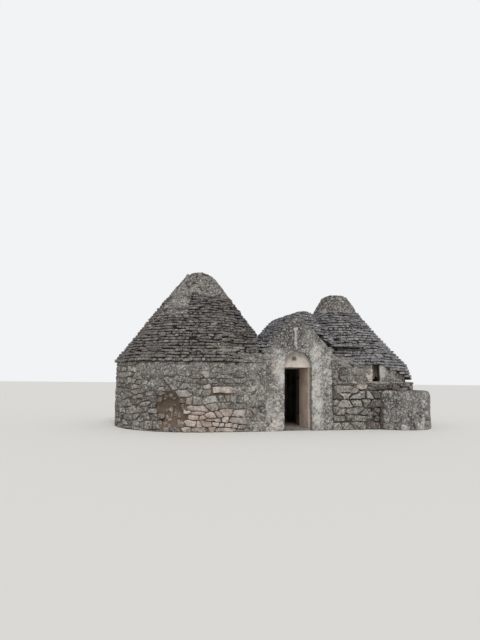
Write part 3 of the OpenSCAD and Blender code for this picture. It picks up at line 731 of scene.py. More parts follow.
def lay_courses(heap, blanks, path_of, courses, side, rng, keep=None, tone=0.5):
    """Lays rows of slabs along the path of each course, leaving out what another roof hides."""
    sizes = bpy.context.scene.trullo_sizes
    for k in courses:
        z = EAVE_H + k * sizes.course_h
        path = path_of(z)
        along, spans = rng.uniform(-0.2, 0), []
        while along < path.length - 0.03:
            span = float(np.clip(rng.gamma(5.0, sizes.slab_l / 5.0), 0.13, 0.70))
            if path.length - along - span < 0.1:
                span = path.length - along
            spans.append((along, span))
            along += span
        starts, lengths = np.array(spans).T
        place, normal = path.at(starts + lengths / 2, 0.0)
        centre = stack(*place.T, z + sizes.course_h / 2)
        hidden = inside_other(side, centre, COVERED)
        if keep:
            hidden |= ~keep(centre, k)
        wave = 0.034 * noise(centre * [1, 1, 0.4], 0.9, 31, 2)
        patch = 0.14 * noise(centre, 0.9, 32, 2)
        for i in np.nonzero(~hidden)[0]:
            if lengths[i] < 0.26 and rng.random() < GAPS:
                continue
            # Now and then two thin flakes lie where one slab would
            layers = 2 if rng.random() < FLAKES else 1
            full = sizes.course_h * rng.uniform(0.78, 1.08)
            for layer in range(layers):
                points, faces = blanks[rng.integers(len(blanks))]
                p = points.copy()
                if rng.random() < 0.5:
                    p[:, 0] *= -1
                    faces = [f[::-1] for f in faces]
                p *= [lengths[i] - rng.uniform(0.002, 0.024), sizes.slab_d * rng.uniform(0.85, 1.0),
                      full / layers * 0.94]
                p[:, 1] += SLAB_OUT + np.clip(rng.normal(0.0, 0.015), -0.035, 0.020)
                p[:, 2] += p[:, 0] * rng.normal(0, 0.065) - (p[:, 1] + 0.03) * rng.uniform(-0.03, 0.09)
                x, y = turned(p, rng.normal(0, 0.05))
                flat = place[i] + np.outer(x, [-normal[i][1], normal[i][0]]) + np.outer(y, normal[i])
                up = z + p[:, 2] + layer * full / 2 + wave[i] + rng.normal(0.002, 0.003)
                # The slab's shade, now and then fresh stone, and painted shade on the part that lies back
                # under the course above
                heap.add(stack(*flat.T, up), faces, stack(
                    np.clip(rng.normal(tone, 0.13) + patch[i], 0, 1), 0.35 * (rng.random() < 0.03),
                    np.where(p[:, 1] - SLAB_OUT < -0.06, 0.1, 1.0)))


def lay_flat(heap, blank, size, spin, x, y, z, shade, shift=0.0, droop=0.0):
    """Lays one loose slab, turned about the upright axis and drooping towards its ends."""
    points, faces = blank
    p = (points + [0, 0.5, -0.5]) * size
    p[:, 0] += shift
    p[:, 2] -= np.abs(p[:, 0]) * droop
    across, ahead = turned(p, spin)
    heap.add(stack(x + across, y + ahead, z + p[:, 2]), faces, (np.clip(shade, 0, 1), 0.0, 1.0))


def draw_in(points, depth):
    """Draws the hall roof's outline in by depth."""
    x, y, z = points.T
    # The limits lie a little beside whole steps, so that rounding moves no ring of the frame across
    low = z < EAVE_H + 7.9 * STEP_H
    neck = ~low & (x > HALL_X + 0.01 + hall_r(z - 1.01 * STEP_H))
    ridge = ~low & ~neck
    spine_y = np.clip(y, *HALL_Y)
    away = np.hypot(x - HALL_X, y - spine_y)
    factor = np.maximum(away - depth, 0.02) / np.maximum(away, 0.02)
    across = np.where(ridge, HALL_X + (x - HALL_X) * factor, x)
    ahead = np.where(ridge, spine_y + (y - spine_y) * factor, y - np.sign(y) * np.minimum(depth, np.abs(y)))
    return stack(across, ahead, z)


def slope_bed(node_name, side):
    """Packing behind the slabs: the frame's stepped band, drawn in towards its axis."""
    points, faces = take_mesh(node_copy("bed", node_name))
    flat = points[:, :2] - [AXIS_X[side], 0]
    r = np.linalg.norm(flat, axis=1)
    depth = np.full(len(r), bpy.context.scene.trullo_sizes.bed_in)
    if side == RIGHT:
        hanging = points[:, 2] < EAVE_H - 0.002
        depth[hanging] = np.clip(r[hanging] - UPPER_R - 0.01, 0, 0.06)
    points[:, :2] = [AXIS_X[side], 0] + flat * ((r - depth) / r)[:, None]
    return points, faces


def first_slabs(points, k):
    """Leaves out the two lowest courses beside the porch, where mortar takes their place."""
    x, y = points[:, 0], points[:, 1]
    low, high = {0: (-1.9, 2.0), 1: (-1.4, 1.65)}.get(k, (0, 0))
    return (y >= 0) | (x <= low) | (x >= high)


def hanging_path(z):
    """Where the right cone's slabs hang below its eave."""
    return Path(arc(RIGHT, UPPER_R + 0.08 + 0.025 * (EAVE_H - z) / STEP_H, -90, 60))


def hanging_eave(points, k):
    """The right cone's slabs hang lower and lower towards the annex."""
    angle = np.degrees(np.arctan2(points[:, 1], points[:, 0] - AXIS_X[RIGHT]))
    return (angle > -75 - 8.75 * (k + 1)) & (angle < 12)


class TRULLO_OT_cone_slabs(bpy.types.Operator):
    """Lay the split slabs of both cones in courses"""

    bl_idname = "trullo.cone_slabs"
    bl_label = "Cone slabs"

    def execute(self, context):
        first = context.scene.trullo_sizes.seed
        blanks = [slab_blank(first * 10 + i) for i in range(12)]
        for side, word, seed, tones in ((LEFT, "left", first, (0.56, 0.51, 0.46)),
                                        (RIGHT, "right", first + 50, (0.60, 0.64, 0.50))):
            rng = np.random.default_rng(seed)

            def circle(z):
                start = rng.uniform(0, 360)
                return Path(arc(side, float(cone_r(side, z)), start, start + 360))

            low = 0
            for i, part in enumerate(("lower", "middle", "upper")):
                heap, band = Heap(), f"{word}_roof_{part}"
                high = courses_to(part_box(band)[1].z)
                lay_courses(heap, blanks, circle, range(low, high), side, rng, first_slabs, tones[i])
                if side == RIGHT and i == 0:
                    # Five courses hang below the eave
                    lay_courses(heap, blanks, hanging_path, range(-5, 0), side, rng, hanging_eave, 0.6)
                # The packing keeps a tint of 0: dark, painted shade in the gaps between the slabs
                heap.add(*slope_bed(band, side))
                heap.piece(f"{word}_slabs_{part}", "roof_slabs", f"split_limestone_{word}",
                           rough=0.005, seed=seed + i, smooth=28, replaces=[band])
                low = high
        return {"FINISHED"}


def hall_path(z):
    """Outline of the hall roof at height z, seen from behind."""
    if z < SHOULDER_H - 0.02:
        return straight(GABLE[1], GABLE[0], cone_r(LEFT, z))
    r, back = float(hall_r(z)), HALL_Y[1]
    wide = r + NECK_W
    first = math.asin(min(1, (wide - back) / r)) if wide > back else 0.0
    meet = HALL_X + r * math.cos(first)
    runs = [((NECK_END, wide), (meet, wide))]
    if wide < back:
        runs.append(((meet, wide), (meet, back)))
    runs.append(((HALL_X, back), r, first, math.pi))
    return Path(*runs, ((HALL_X - r, back), (HALL_X - r, HALL_Y[0])))


def hall_front_path(z):
    """Outline of the hall roof at height z, seen from the front."""
    r, front = float(hall_r(z)), HALL_Y[0]
    runs, wide = [((HALL_X, front), r, math.pi, 2 * math.pi)], -r - NECK_W
    if wide > front:
        runs += [((HALL_X + r, front), (HALL_X + r, wide)), ((HALL_X + r, wide), (NECK_END, wide))]
    return Path(*runs)


class TRULLO_OT_hall_slabs(bpy.types.Operator):
    """Lay the slabs over the hall and the corners beside the cones"""

    bl_idname = "trullo.hall_slabs"
    bl_label = "Hall slabs"

    def execute(self, context):
        sizes = context.scene.trullo_sizes
        rng = np.random.default_rng(sizes.seed + 90)
        blanks = [slab_blank(sizes.seed * 10 + 40 + i) for i in range(8)]
        heap, top, corner_top = Heap(), courses_to(RIDGE_H), courses_to(SHOULDER_H)
        for path_of, low, high in ((hall_path, 0, top), (hall_front_path, corner_top, top),
                                   (lambda z: straight(*GABLE, -cone_r(LEFT, z)), 0, corner_top)):
            lay_courses(heap, blanks, path_of, range(low, high), "hall", rng)
        # Flat slabs close the ridge and its neck towards the right cone
        ridge = [(HALL_X + rng.normal(0, 0.03), y, 0.0, 0.20) for y in np.arange(-1.62, 1.05, 0.155)]
        ridge += [(x, rng.normal(0, 0.03), 90.0, 0.36) for x in np.arange(0.86, 2.15, 0.155)]
        for x, y, turn, reach in ridge:
            for part in (-1, 1):
                lay_flat(heap, blanks[rng.integers(len(blanks))],
                         (reach * rng.uniform(0.95, 1.25), 0.19 * rng.uniform(0.9, 1.2), 0.055),
                         math.radians(turn + rng.normal(0, 6)), x, y,
                         RIDGE_H + 0.012 + rng.uniform(-0.008, 0.010), rng.normal(0.45, 0.15),
                         part * reach * 0.47, 0.10)
        # Loose slabs lie over the flat shoulders beside the cones
        for x in np.arange(AXIS_X[LEFT], AXIS_X[RIGHT], 0.17):
            for y in np.arange(-2.3, 2.3, 0.15):
                at_x, at_y = x + rng.uniform(-0.05, 0.05), y + rng.uniform(-0.04, 0.04)
                in_cone = any(math.hypot(at_x - AXIS_X[side], at_y) < cone_r(side, SHOULDER_H) - 0.05
                              for side in (LEFT, RIGHT))
                over_gable = at_y < -2.3 and GABLE[0] < at_x < GABLE[1]
                if in_cone or over_gable or abs(at_y) > cone_r(LEFT, SHOULDER_H) - 0.08:
                    continue
                lay_flat(heap, blanks[rng.integers(len(blanks))],
                         (rng.uniform(0.20, 0.32), rng.uniform(0.17, 0.24), 0.05),
                         rng.uniform(0, 2 * math.pi), at_x, at_y, SHOULDER_H + rng.uniform(0.0, 0.03),
                         rng.normal(0.5, 0.15))
        points, faces = take_mesh(node_copy("bed", "hall_roof"))
        # The packing keeps a tint of 0: dark, painted shade in the gaps between the slabs
        heap.add(draw_in(points, sizes.bed_in), faces)
        heap.piece("hall_slabs", "roof_slabs", "split_limestone_right", rough=0.0035, seed=sizes.seed + 91,
                   smooth=28, replaces=["hall_roof"])

        heap = Heap()
        for side, low, high in ((LEFT, AXIS_X[LEFT], GABLE[0] + 0.06),
                                (RIGHT, GABLE[1] - 0.06, AXIS_X[RIGHT])):
            for start, end, way in ((low, high, -1), (high, low, 1)):
                lay_courses(heap, blanks, lambda z: straight(start, end, way * cone_r(side, z)),
                            range(corner_top), "corner", rng, first_slabs)
        points, faces = take_mesh(node_copy("bed", "corner_slopes"))
        points[:, 1] -= np.sign(points[:, 1]) * sizes.bed_in
        # The packing keeps a tint of 0: dark, painted shade in the gaps between the slabs
        heap.add(points, faces)
        obj = heap.piece("corner_slabs", "roof_slabs", "split_limestone_left", "split_limestone_right",
                         rough=0.0035, seed=sizes.seed + 92, smooth=28, replaces=["corner_slopes"])
        right = [int(face.center.x > 0) for face in obj.data.polygons]
        obj.data.polygons.foreach_set("material_index", right)
        obj.data.update()
        return {"FINISHED"}


def cobble_blank(seed):
    """One broken stone: a ball struck flat by a few blows."""
    only()
    bpy.ops.mesh.primitive_ico_sphere_add(subdivisions=2, radius=0.55)
    obj = bpy.context.object
    rng = np.random.default_rng(seed)
    bpy.ops.object.mode_set(mode="EDIT")
    for blow in range(6):
        way = Vector(rng.normal(size=3)).normalized()
        bpy.ops.mesh.select_all(action="SELECT")
        bpy.ops.mesh.bisect(plane_co=way * rng.uniform(0.33, 0.46), plane_no=way, use_fill=True,
                            clear_outer=True)
    bpy.ops.mesh.select_all(action="SELECT")
    bpy.ops.mesh.remove_doubles(threshold=0.06)
    bpy.ops.mesh.select_all(action="SELECT")
    bpy.ops.transform.vertex_random(offset=0.02, seed=seed)
    bpy.ops.object.mode_set(mode="OBJECT")
    return take_mesh(obj)


def set_cobble(heap, blanks, rng, place, size, tint, outward=(0, 0, 1), flat=0.6):
    """Sets one broken stone with its flatter way along outward; a pair of values is a range to draw from."""
    points, faces = blanks[rng.integers(len(blanks))]
    size, *tint = (rng.uniform(*value) if isinstance(value, tuple) else value for value in (size, *tint))
    p = points * size * [rng.uniform(0.9, 1.5), rng.uniform(0.7, 1.1), flat * rng.uniform(0.8, 1.2)]
    spin = Matrix.Rotation(rng.uniform(0, 2 * math.pi), 3, "Z")
    wobble = Matrix.Rotation(rng.normal(0, 0.2), 3, "X")
    m = np.array(Vector(outward).to_track_quat("Z", "Y").to_matrix() @ wobble @ spin)
    heap.add(p @ m.T + np.array(place), faces, tint)


def cone_top(side, word, blanks, seed):
    """The mortared top of one cone, and the stones that show in it."""
    rng = np.random.default_rng(seed + 130 + side)
    around, heights = rng.uniform(0, 2 * math.pi, SPOTS), rng.uniform(CAP_H[side] - 0.1, TOP_H[side], SPOTS)
    reach = cone_r(side, heights) + 0.02
    seeds = np.vstack([
        stack(AXIS_X[side] + reach * np.cos(around), reach * np.sin(around), heights),
        stack(AXIS_X[side] + rng.uniform(-0.4, 0.4, 24), rng.uniform(-0.4, 0.4, 24), TOP_H[side])])
    squash = np.array([1, 1, 1.5])

    def height(p, n):
        gap, nearest = cracks(p * squash, seeds * squash)
        own = np.sin(nearest * OWN_HEIGHT) * 0.5 + 0.5
        lumps = noise(p, 0.4, 5, 2) * 0.016 + noise(p, 0.12, 6, 2) * 0.008
        rim = smoothstep(TOP_R[side] - 0.22, TOP_R[side] + 0.02, np.hypot(p[:, 0] - AXIS_X[side], p[:, 1]))
        rim = rim * smoothstep(TOP_H[side] - 0.10, TOP_H[side], p[:, 2])
        return (smoothstep(0.0, 0.03, gap) - 1) * 0.026 + own * 0.022 + lumps - 0.008 - 0.055 * rim

    def tint(p, n):
        gap, nearest = cracks(p * squash, seeds * squash)
        own = np.sin(nearest * OWN_TONE) * 0.5 + 0.5
        white = 0.04 + 0.26 * own + 0.20 * noise(p, 0.3, 8)
        # The last value paints shade in the joints between the stones
        return stack(white, 0.35 + 0.3 * noise(p, 0.5, 9), smoothstep(0.0, 0.03, gap))

    obj = carve(f"{word}_top", [f"{word}_cap"], 0.028, height, tint)
    finish(obj, "lime_mortar", "old_lime_mortar", smooth=40, replaces=[f"{word}_cap"])
    heap = Heap()
    for z in np.arange(CAP_H[side] - 0.02, TOP_H[side] - 0.10, 0.10):
        r = float(cone_r(side, z))
        for a in np.arange(0, 2 * math.pi, 0.21 / r) + rng.uniform(0, 1):
            if rng.random() >= BARE:
                c, s = math.cos(a), math.sin(a)
                set_cobble(heap, blanks, rng, (AXIS_X[side] + (r - 0.062) * c, (r - 0.062) * s, z),
                           (0.12, 0.20), ((0.1, 0.75), 0.05, 1.0), (c, s, 0.5))
    for spot in range(16):
        a, r = rng.uniform(0, 2 * math.pi), rng.uniform(0.05, TOP_R[side] - 0.10)
        place = (AXIS_X[side] + r * math.cos(a), r * math.sin(a), TOP_H[side] - 0.06 - 0.25 * r * r)
        set_cobble(heap, blanks, rng, place, (0.14, 0.22), ((0.2, 0.8), 0.05, 1.0))
    heap.piece(f"{word}_top_stones", "rubble_stone", "field_limestone",
               rough=0.006, seed=seed + side, smooth=30)


class TRULLO_OT_cone_tops(bpy.types.Operator):
    """Make the mortared rubble tops of both cones"""

    bl_idname = "trullo.cone_tops"
    bl_label = "Cone tops"

    def execute(self, context):
        seed = context.scene.trullo_sizes.seed
        blanks = [cobble_blank(seed * 3 + i) for i in range(8)]
        cone_top(LEFT, "left", blanks, seed)
        cone_top(RIGHT, "right", blanks, seed)
        return {"FINISHED"}


# ---- Rubble walls ---------------------------------------------------------------------------


def cut(shape, nx, ny, d):
    """Keeps the part of a convex outline where nx*x + ny*y <= d."""
    kept = []
    for (ax, ay), (bx, by) in zip(shape, shape[1:] + shape[:1]):
        da, db = nx * ax + ny * ay - d, nx * bx + ny * by - d
        if da <= 0:
            kept.append((ax, ay))
        if (da < 0 < db) or (db < 0 < da):
            t = da / (da - db)
            kept.append((ax + t * (bx - ax), ay + t * (by - ay)))
    return kept


def wall_cells(width, height, stone_l, stone_h, rng):
    """Parts a wall into fitted stones: rows of points, each stone the cells of its own points."""
    sites, owner, stones = [], [], 0
    z = rng.uniform(-0.08, 0.0)
    while z < height:
        row = stone_h * rng.uniform(0.68, 1.35)
        along = rng.uniform(-0.3, 0.0)
        while along < width + 0.1:
            span = float(np.clip(rng.gamma(4.5, stone_l / 4.5), 0.12, 0.85))
            count = max(2, round(span / SITE))
            # Rows rise and fall along the wall, and each stone is lifted and tilted a little
            wave = 0.05 * math.sin(along * 1.7 + z * 5) + 0.03 * math.sin(along * 4.1 + z * 9)
            lift, tilt = rng.normal(0, 0.030), rng.normal(0, 0.07)
            for i in range(count):
                x = along + span * (i + 0.5) / count
                y = z + row / 2 + wave + lift + tilt * (x - along - span / 2)
                sites.append((x + rng.normal(0, 0.006), y + rng.normal(0, 0.006)))
                owner.append(stones)
            stones += 1
            along += span
        z += row
    sites, pieces = np.array(sites), {}
    for i, (x, y) in enumerate(sites):
        if not (-0.25 < x < width + 0.25 and -0.25 < y < height + 0.25):
            continue
        # Each cell is a square cut by the halfway lines to its nearest points
        away = np.hypot(*(sites - sites[i]).T)
        shape = [(x - CELL, y - CELL), (x + CELL, y - CELL), (x + CELL, y + CELL), (x - CELL, y + CELL)]
        for j in np.argsort(away)[1:34]:
            if not shape or away[j] / 2 > max(math.hypot(px - x, py - y) for px, py in shape):
                break
            dx, dy = sites[j][0] - x, sites[j][1] - y
            shape = cut(shape, dx, dy, (sites[j][0] ** 2 + sites[j][1] ** 2 - x * x - y * y) / 2)
        for edge in ((-1, 0, 0), (1, 0, width), (0, -1, 0), (0, 1, height)):
            shape = cut(shape, *edge)
        if len(shape) >= 3:
            pieces.setdefault(owner[i], []).append(shape)
    outlines = [join_outlines(shapes) for shapes in pieces.values()]
    return [outline for outline in outlines if outline is not None]


def join_outlines(shapes):
    """The outline of cells that lie side by side, without their shared edges."""
    edges = {}
    for shape in shapes:
        keys = [(round(x, 4), round(y, 4)) for x, y in shape]
        for a, b in zip(keys, keys[1:] + keys[:1]):
            if (b, a) in edges:
                del edges[(b, a)]
            elif a != b:
                edges[(a, b)] = True
    follow = {a: b for a, b in edges}
    if not follow:
        return None
    begin = next(iter(follow))
    loop, at = [begin], follow[begin]
    while at != begin and at in follow and len(loop) < 200:
        loop.append(at)
        at = follow[at]
    if at != begin or len(loop) < 4:
        loop = [p for shape in shapes for p in shape]
        centre = np.mean(loop, axis=0)
        loop.sort(key=lambda p: math.atan2(p[1] - centre[1], p[0] - centre[0]))
    return np.array(loop, float)


def even_outline(loop, count):
    """Softens an outline's corners and spaces its points evenly."""
    a, b = loop, np.roll(loop, -1, 0)
    loop = np.stack([a * 0.88 + b * 0.12, a * 0.12 + b * 0.88], 1).reshape(-1, 2)
    edge = np.linalg.norm(np.roll(loop, -1, 0) - loop, axis=1)
    total = np.concatenate([[0], np.cumsum(edge)])
    t = np.linspace(0, total[-1], count, endpoint=False)
    return stack(*(np.interp(t, total, np.append(axis, axis[0])) for axis in loop.T))


def face_stone(heap, path, loop, joint, proud, base, rng, tint):
    """One wall stone: its back lies in the bed, its face is broken into a few tilted flats."""
    x, y = loop.T
    area = 0.5 * np.sum(x * np.roll(y, -1) - y * np.roll(x, -1))
    if abs(area) < 0.0012:
        return
    if area < 0:
        loop = loop[::-1]
    around = np.sum(np.linalg.norm(np.roll(loop, -1, 0) - loop, axis=1))
    n = int(np.clip(round(around / 0.06), 8, 18))
    loop = even_outline(loop, n)
    way = np.roll(loop, -1, 0) - np.roll(loop, 1, 0)
    way /= np.maximum(np.linalg.norm(way, axis=1), 1e-9)[:, None]
    loop = loop + stack(-way[:, 1], way[:, 0]) * (joint / 2 + np.abs(rng.normal(0, 0.006, n)))[:, None]
    centre = loop.mean(0)
    lean = rng.normal(0, 0.09, 2)
    reach = np.linalg.norm(loop - centre, axis=1).mean()
    blows = []
    for blow in range(rng.integers(2, 6)):
        way = rng.normal(size=2)
        blows.append((way / (np.linalg.norm(way) + 1e-9), rng.uniform(0.15, 0.75), rng.uniform(0.25, 0.7)))
    # Rings of points from the back over the rim to the middle: how wide and how far out each is
    rings = [stack(*loop.T, base - 0.045)]
    for scale, share in ((1.0, 0.50), (0.90, 0.92), (0.5, 1.0), (0.0, 1.03)):
        off = (loop - centre) * scale if scale else np.zeros((1, 2))
        out = proud * share + off @ lean * min(1, scale + 0.2)
        for direction, far, slope in blows:
            out = np.minimum(out, proud * 1.08 - np.maximum(0, off @ direction - reach * far) * slope)
        out = np.maximum(out + rng.normal(0, 0.003, len(off)), -0.01)
        rings.append(stack(*(centre + off).T, out + base))
    flat = np.vstack(rings)
    where, _ = path.at(flat[:, 0], flat[:, 2])
    after = [(i + 1) % n for i in range(n)]
    faces = [[k + i, k + after[i], k + n + after[i], k + n + i] for k in (0, n, 2 * n) for i in range(n)]
    faces += [[3 * n + i, 3 * n + after[i], 4 * n] for i in range(n)]
    faces.append(list(range(n))[::-1])
    shade, clean, brown = tint
    # Painted shade: the back ring and the rim are darker, deeper in the joint
    stand = np.repeat([0.0, 0.32, 0.95, 1.0, 1.0], [n, n, n, n, 1])
    heap.add(stack(*where.T, flat[:, 1]), faces, stack(shade, clean, stand, brown))


def front_share(y):
    """How far a place of the drums looks to the front, from 0 to 1."""
    return smoothstep(-1.2, -2.0, y)


def fresh_zone(x, y, z):
    """Where the left front shows fresh stone, from 0 to 1: beside the hollow, under a falling edge."""
    across = smoothstep(-3.75, -3.35, x) * smoothstep(-1.45, -2.0, x)
    return front_share(y) * across * smoothstep(0.98, 0.72, z + 0.30 * np.clip(x + 2.9, -1, 1.4))


def mortar_zone(x, y, z):
    """Where mortar covers the left front's stones, from 0 to 1: under the eave and beside the porch."""
    cover = np.maximum(smoothstep(1.50, 1.68, z), 0.72 * smoothstep(-2.15, -1.55, x))
    return front_share(y) * (x < 0) * np.maximum(cover, 0.55 * smoothstep(0.9, 1.2, z))


def face_path(word):
    """The path and the heights of one face of the walls."""
    if word == "left":
        return Path(((PORCH[1], DRUM_R), (AXIS_X[LEFT], DRUM_R)), arc(LEFT, DRUM_R, 90, 270),
                    ((AXIS_X[LEFT], -DRUM_R), (PIER_EDGE[0], -DRUM_R))), 0.0, EAVE_H
    if word == "pier":
        return Path(((PIER_EDGE[1], -DRUM_R), (PORCH[1], -DRUM_R)),
                    ((PORCH[1], -DRUM_R), (PORCH[1], -UPPER_R))), LEDGE_H, EAVE_H + 0.09
    start, r, low, high = {"right": (PIER_EDGE[1], DRUM_R, 0.0, LEDGE_H),
                           "upper": (PORCH[1], UPPER_R, LEDGE_H, EAVE_H)}[word]
    return Path(((start, -r), (AXIS_X[RIGHT], -r)), arc(RIGHT, r, -90, 90),
                ((AXIS_X[RIGHT], r), (PORCH[1], r))), low, high


def hollow_depth(points):
    """How far behind the drum's face the fallen hollow lies at each face point."""
    flat = points[:, :2] - [AXIS_X[LEFT], 0]
    along = flat / np.linalg.norm(flat, axis=1)[:, None] @ HOLLOW
    off = np.sum(HOLLOW**2) - along**2 + (points[:, 2] - HOLLOW_H) ** 2
    near = along - np.sqrt(np.maximum(HOLLOW_R**2 - off, 0))
    return np.where((off < HOLLOW_R**2) & (along > 0), np.maximum(DRUM_R - near, 0), 0)


def beside_block(loop, along):
    """Cuts a stone's outline back from the long pale block, or drops it."""
    block = np.array([along, PALE_BLOCK[1]])
    way, size = loop.mean(0) - block, np.array(PALE_HALF)
    if (loop.min(0) - block > size).any() or (loop.max(0) - block < -size).any():
        return loop
    if (np.abs(way) < size - 0.03).all():
        return None
    axis = int(abs(way[1]) / size[1] > abs(way[0]) / size[0])
    turn = math.copysign(1, way[axis])
    shape = cut([tuple(p) for p in loop], *(-turn * np.eye(2)[axis]), -turn * block[axis] - size[axis])
    return np.array(shape) if len(shape) > 3 else None


def rubble_face(name, word, stone_l, stone_h, seed):
    """All the stones of one face of the walls."""
    sizes = bpy.context.scene.trullo_sizes
    rng = np.random.default_rng(seed)
    path, low, high = face_path(word)
    left, heap = word == "left", Heap()
    block = path.length - (PIER_EDGE[0] - PALE_BLOCK[0])
    opening = WINDOW[0] - PORCH[1] - 0.012, WINDOW[1] - PORCH[1] + 0.012
    for loop in wall_cells(path.length, high - low, stone_l, stone_h, rng):
        middle = loop.mean(0)
        (x, y), z = path.at(middle[0], 0.0)[0], middle[1] + low
        loop = loop + [0, low]
        from_annex = math.hypot(x - ANNEX[0], y - ANNEX[1]) - ANNEX_R
        if from_annex < -0.08 and z < ANNEX_H - 0.12:
            continue
        if word == "upper" and y < 0 and WINDOW[0] - 0.4 < x < WINDOW[1] + 0.4:
            way = 1 if middle[0] < sum(opening) / 2 else -1
            loop = np.array(cut([tuple(p) for p in loop], way, 0, way * opening[way < 0]))
            if len(loop) < 3:
                continue
        fallen = float(hollow_depth(np.array([[x, y, z]]))[0]) if left else 0.0
        shade = float(np.clip(rng.normal(0.52, 0.20) if left else rng.normal(0.62, 0.27), 0, 1))
        clean = float(np.clip(fresh_zone(x, y, z) * rng.uniform(0.38, 1.05), 0, 1))
        brown = 0.25 * (rng.uniform(0, 1) < 0.25)
        if left and y < -2:
            loop = beside_block(loop, block)
        if loop is None or fallen > 0.11:
            continue
        # Beside the porch the stones are browner and darker: brown stone, and partly painted shadow of the
        # porch
        if (word == "pier" and x < 1.6) or (word == "upper" and y < -2 and x < 1.62):
            brown, shade = 0.9, shade * 0.12
        # Painted shade, with a brown tone, in the corner where the annex meets the drum
        if word == "right" and x < ANNEX[0] and from_annex < 0.24:
            brown, shade = 0.5, shade * 0.15
        if fallen > 0.01:
            clean, shade, brown = clean * 0.4, shade * 0.6, 0.6
        proud = sizes.proud * rng.uniform(0.72, 1.32) * (1.0 if left else 1.2)
        joint = rng.uniform(0.5, 2.0) + 2.5 * (rng.random() < 0.14)
        joint = sizes.joint_w * joint * (1 - 0.5 * clean) * (1.0 if left else 1.5)
        face_stone(heap, path, loop, joint, proud, -0.050 - fallen * 0.5, rng, (shade, clean, brown))
    if left:
        # One long pale block over the fresh stones
        loop = [[-0.32, -0.10], [-0.05, -0.085], [0.16, -0.11], [0.33, -0.09], [0.315, 0.02],
                [0.335, 0.09], [0.10, 0.105], [-0.12, 0.085], [-0.33, 0.10], [-0.30, 0.0]]
        loop = np.array(loop) + [block, PALE_BLOCK[1]]
        face_stone(heap, path, loop, 0.006, sizes.proud * 1.25, -0.045, rng, (1.0, 0.9, 0.0))
    heap.piece(name, "rubble_stone", "field_limestone", rough=0.008, seed=seed, smooth=32)


def wall_core(name, radius, *nodes):
    """Walls without their facing stones: frame nodes whose outer side is drawn in behind the stones."""
    depth = bpy.context.scene.trullo_sizes.wall_bed
    heap, inside = Heap(), []
    for node_name in nodes:
        points, faces = take_mesh(node_copy("bed", node_name))
        spine = stack(np.clip(points[:, 0], *AXIS_X), 0.0)
        flat = points[:, :2] - spine
        r = np.linalg.norm(flat, axis=1)
        outer = (r > radius - 0.02) | ((np.abs(r - UPPER_R) < 0.01) & (points[:, 2] > LEDGE_H - 0.001))
        points[outer, :2] = (spine + flat * ((r - depth) / np.maximum(r, 0.1))[:, None])[outer]
        inside += [not outer[face].any() for face in faces]
        heap.add(points, faces, (0.4, 0.0, 1.0))
    obj = heap.piece(name, "rubble_stone", "bed_mortar", "inner_limewash", replaces=nodes)
    obj.data.polygons.foreach_set("material_index", np.array(inside, dtype=np.int32))
    obj.data.update()


def fallen_core(seed):
    """The quarter of the left wall whose facing has fallen: brown earth and broken stones."""
    rng = np.random.default_rng(seed)
    bed, axis = bpy.context.scene.trullo_sizes.wall_bed, np.array([AXIS_X[LEFT], 0.0])

    def height(p, n):
        flat = p[:, :2] - axis
        r = np.linalg.norm(flat, axis=1)
        hollow = (hollow_depth(p) > 0.02) & (r < DRUM_R - 0.015) & (r > DRUM_R - 0.4)
        out = np.where((r > DRUM_R - 0.02) & (np.sum(n[:, :2] * flat, 1) / r > 0.5), -bed, 0.0)
        return np.where(hollow, 0.030 * noise(p, 0.16, seed, 3) - 0.01, out)

    obj = carve("fallen_core", ["left_quarter_wall"], 0.032, height,
                lambda p, n: stack(0.2 + 0.2 * noise(p, 0.2, 4), 0.0, 1.0))
    finish(obj, "rubble_stone", "earth_and_rubble", smooth=40, replaces=["left_quarter_wall"])
    # Broken stones that still stick in the earth
    blanks, heap = [cobble_blank(seed * 2 + i) for i in range(7)], Heap()
    for z in np.arange(0.10, 1.22, 0.105):
        for a in np.arange(-0.24, 0.24, 0.055) + rng.uniform(-0.02, 0.02):
            a = math.atan2(HOLLOW[1], HOLLOW[0]) + a
            way = np.array([math.cos(a), math.sin(a)])
            at_z = z + rng.uniform(-0.03, 0.03)
            depth = float(hollow_depth(np.array([[*(axis + DRUM_R * way), at_z]]))[0])
            if depth >= 0.03 and rng.random() >= 0.42:
                set_cobble(heap, blanks, rng, (*(axis + (DRUM_R - depth - 0.02) * way), at_z), (0.07, 0.17),
                           ((0.1, 0.75), 0.1, 1.0, (0.3, 1.0)), (*way, 0.2), 0.7)
    heap.piece("fallen_core_stones", "rubble_stone", "field_limestone", rough=0.006, seed=seed, smooth=30)


class TRULLO_OT_rubble(bpy.types.Operator):
    """Set the fitted field stones of all the outer walls"""

    bl_idname = "trullo.rubble"
    bl_label = "Rubble walls"

    def execute(self, context):
        sizes = context.scene.trullo_sizes
        for name, word, wider, higher, seed in (
                ("left_wall_stones", "left", 0.92, 0.88, 200),
                ("right_wall_stones", "right", 1.5, 1.45, 221),
                ("right_upper_stones", "upper", 1.3, 1.3, 202),
                ("pier_edge_stones", "pier", 0.65, 0.85, 203)):
            rubble_face(name, word, sizes.stone_l * wider, sizes.stone_h * higher, sizes.seed + seed)
        wall_core("left_wall_core", DRUM_R, "left_front_wall", "left_side_wall", "left_back_quarter_wall",
                  "left_back_wall", "back_wall")
        wall_core("right_wall_core", DRUM_R, "right_back_wall", "right_back_quarter_wall", "right_side_wall",
                  "right_quarter_wall", "right_front_wall")
        wall_core("right_upper_core", UPPER_R, "right_upper_wall", "right_window_wall")
        fallen_core(sizes.seed + 210)
        return {"FINISHED"}


# ---- Mortar ---------------------------------------------------------------------------------


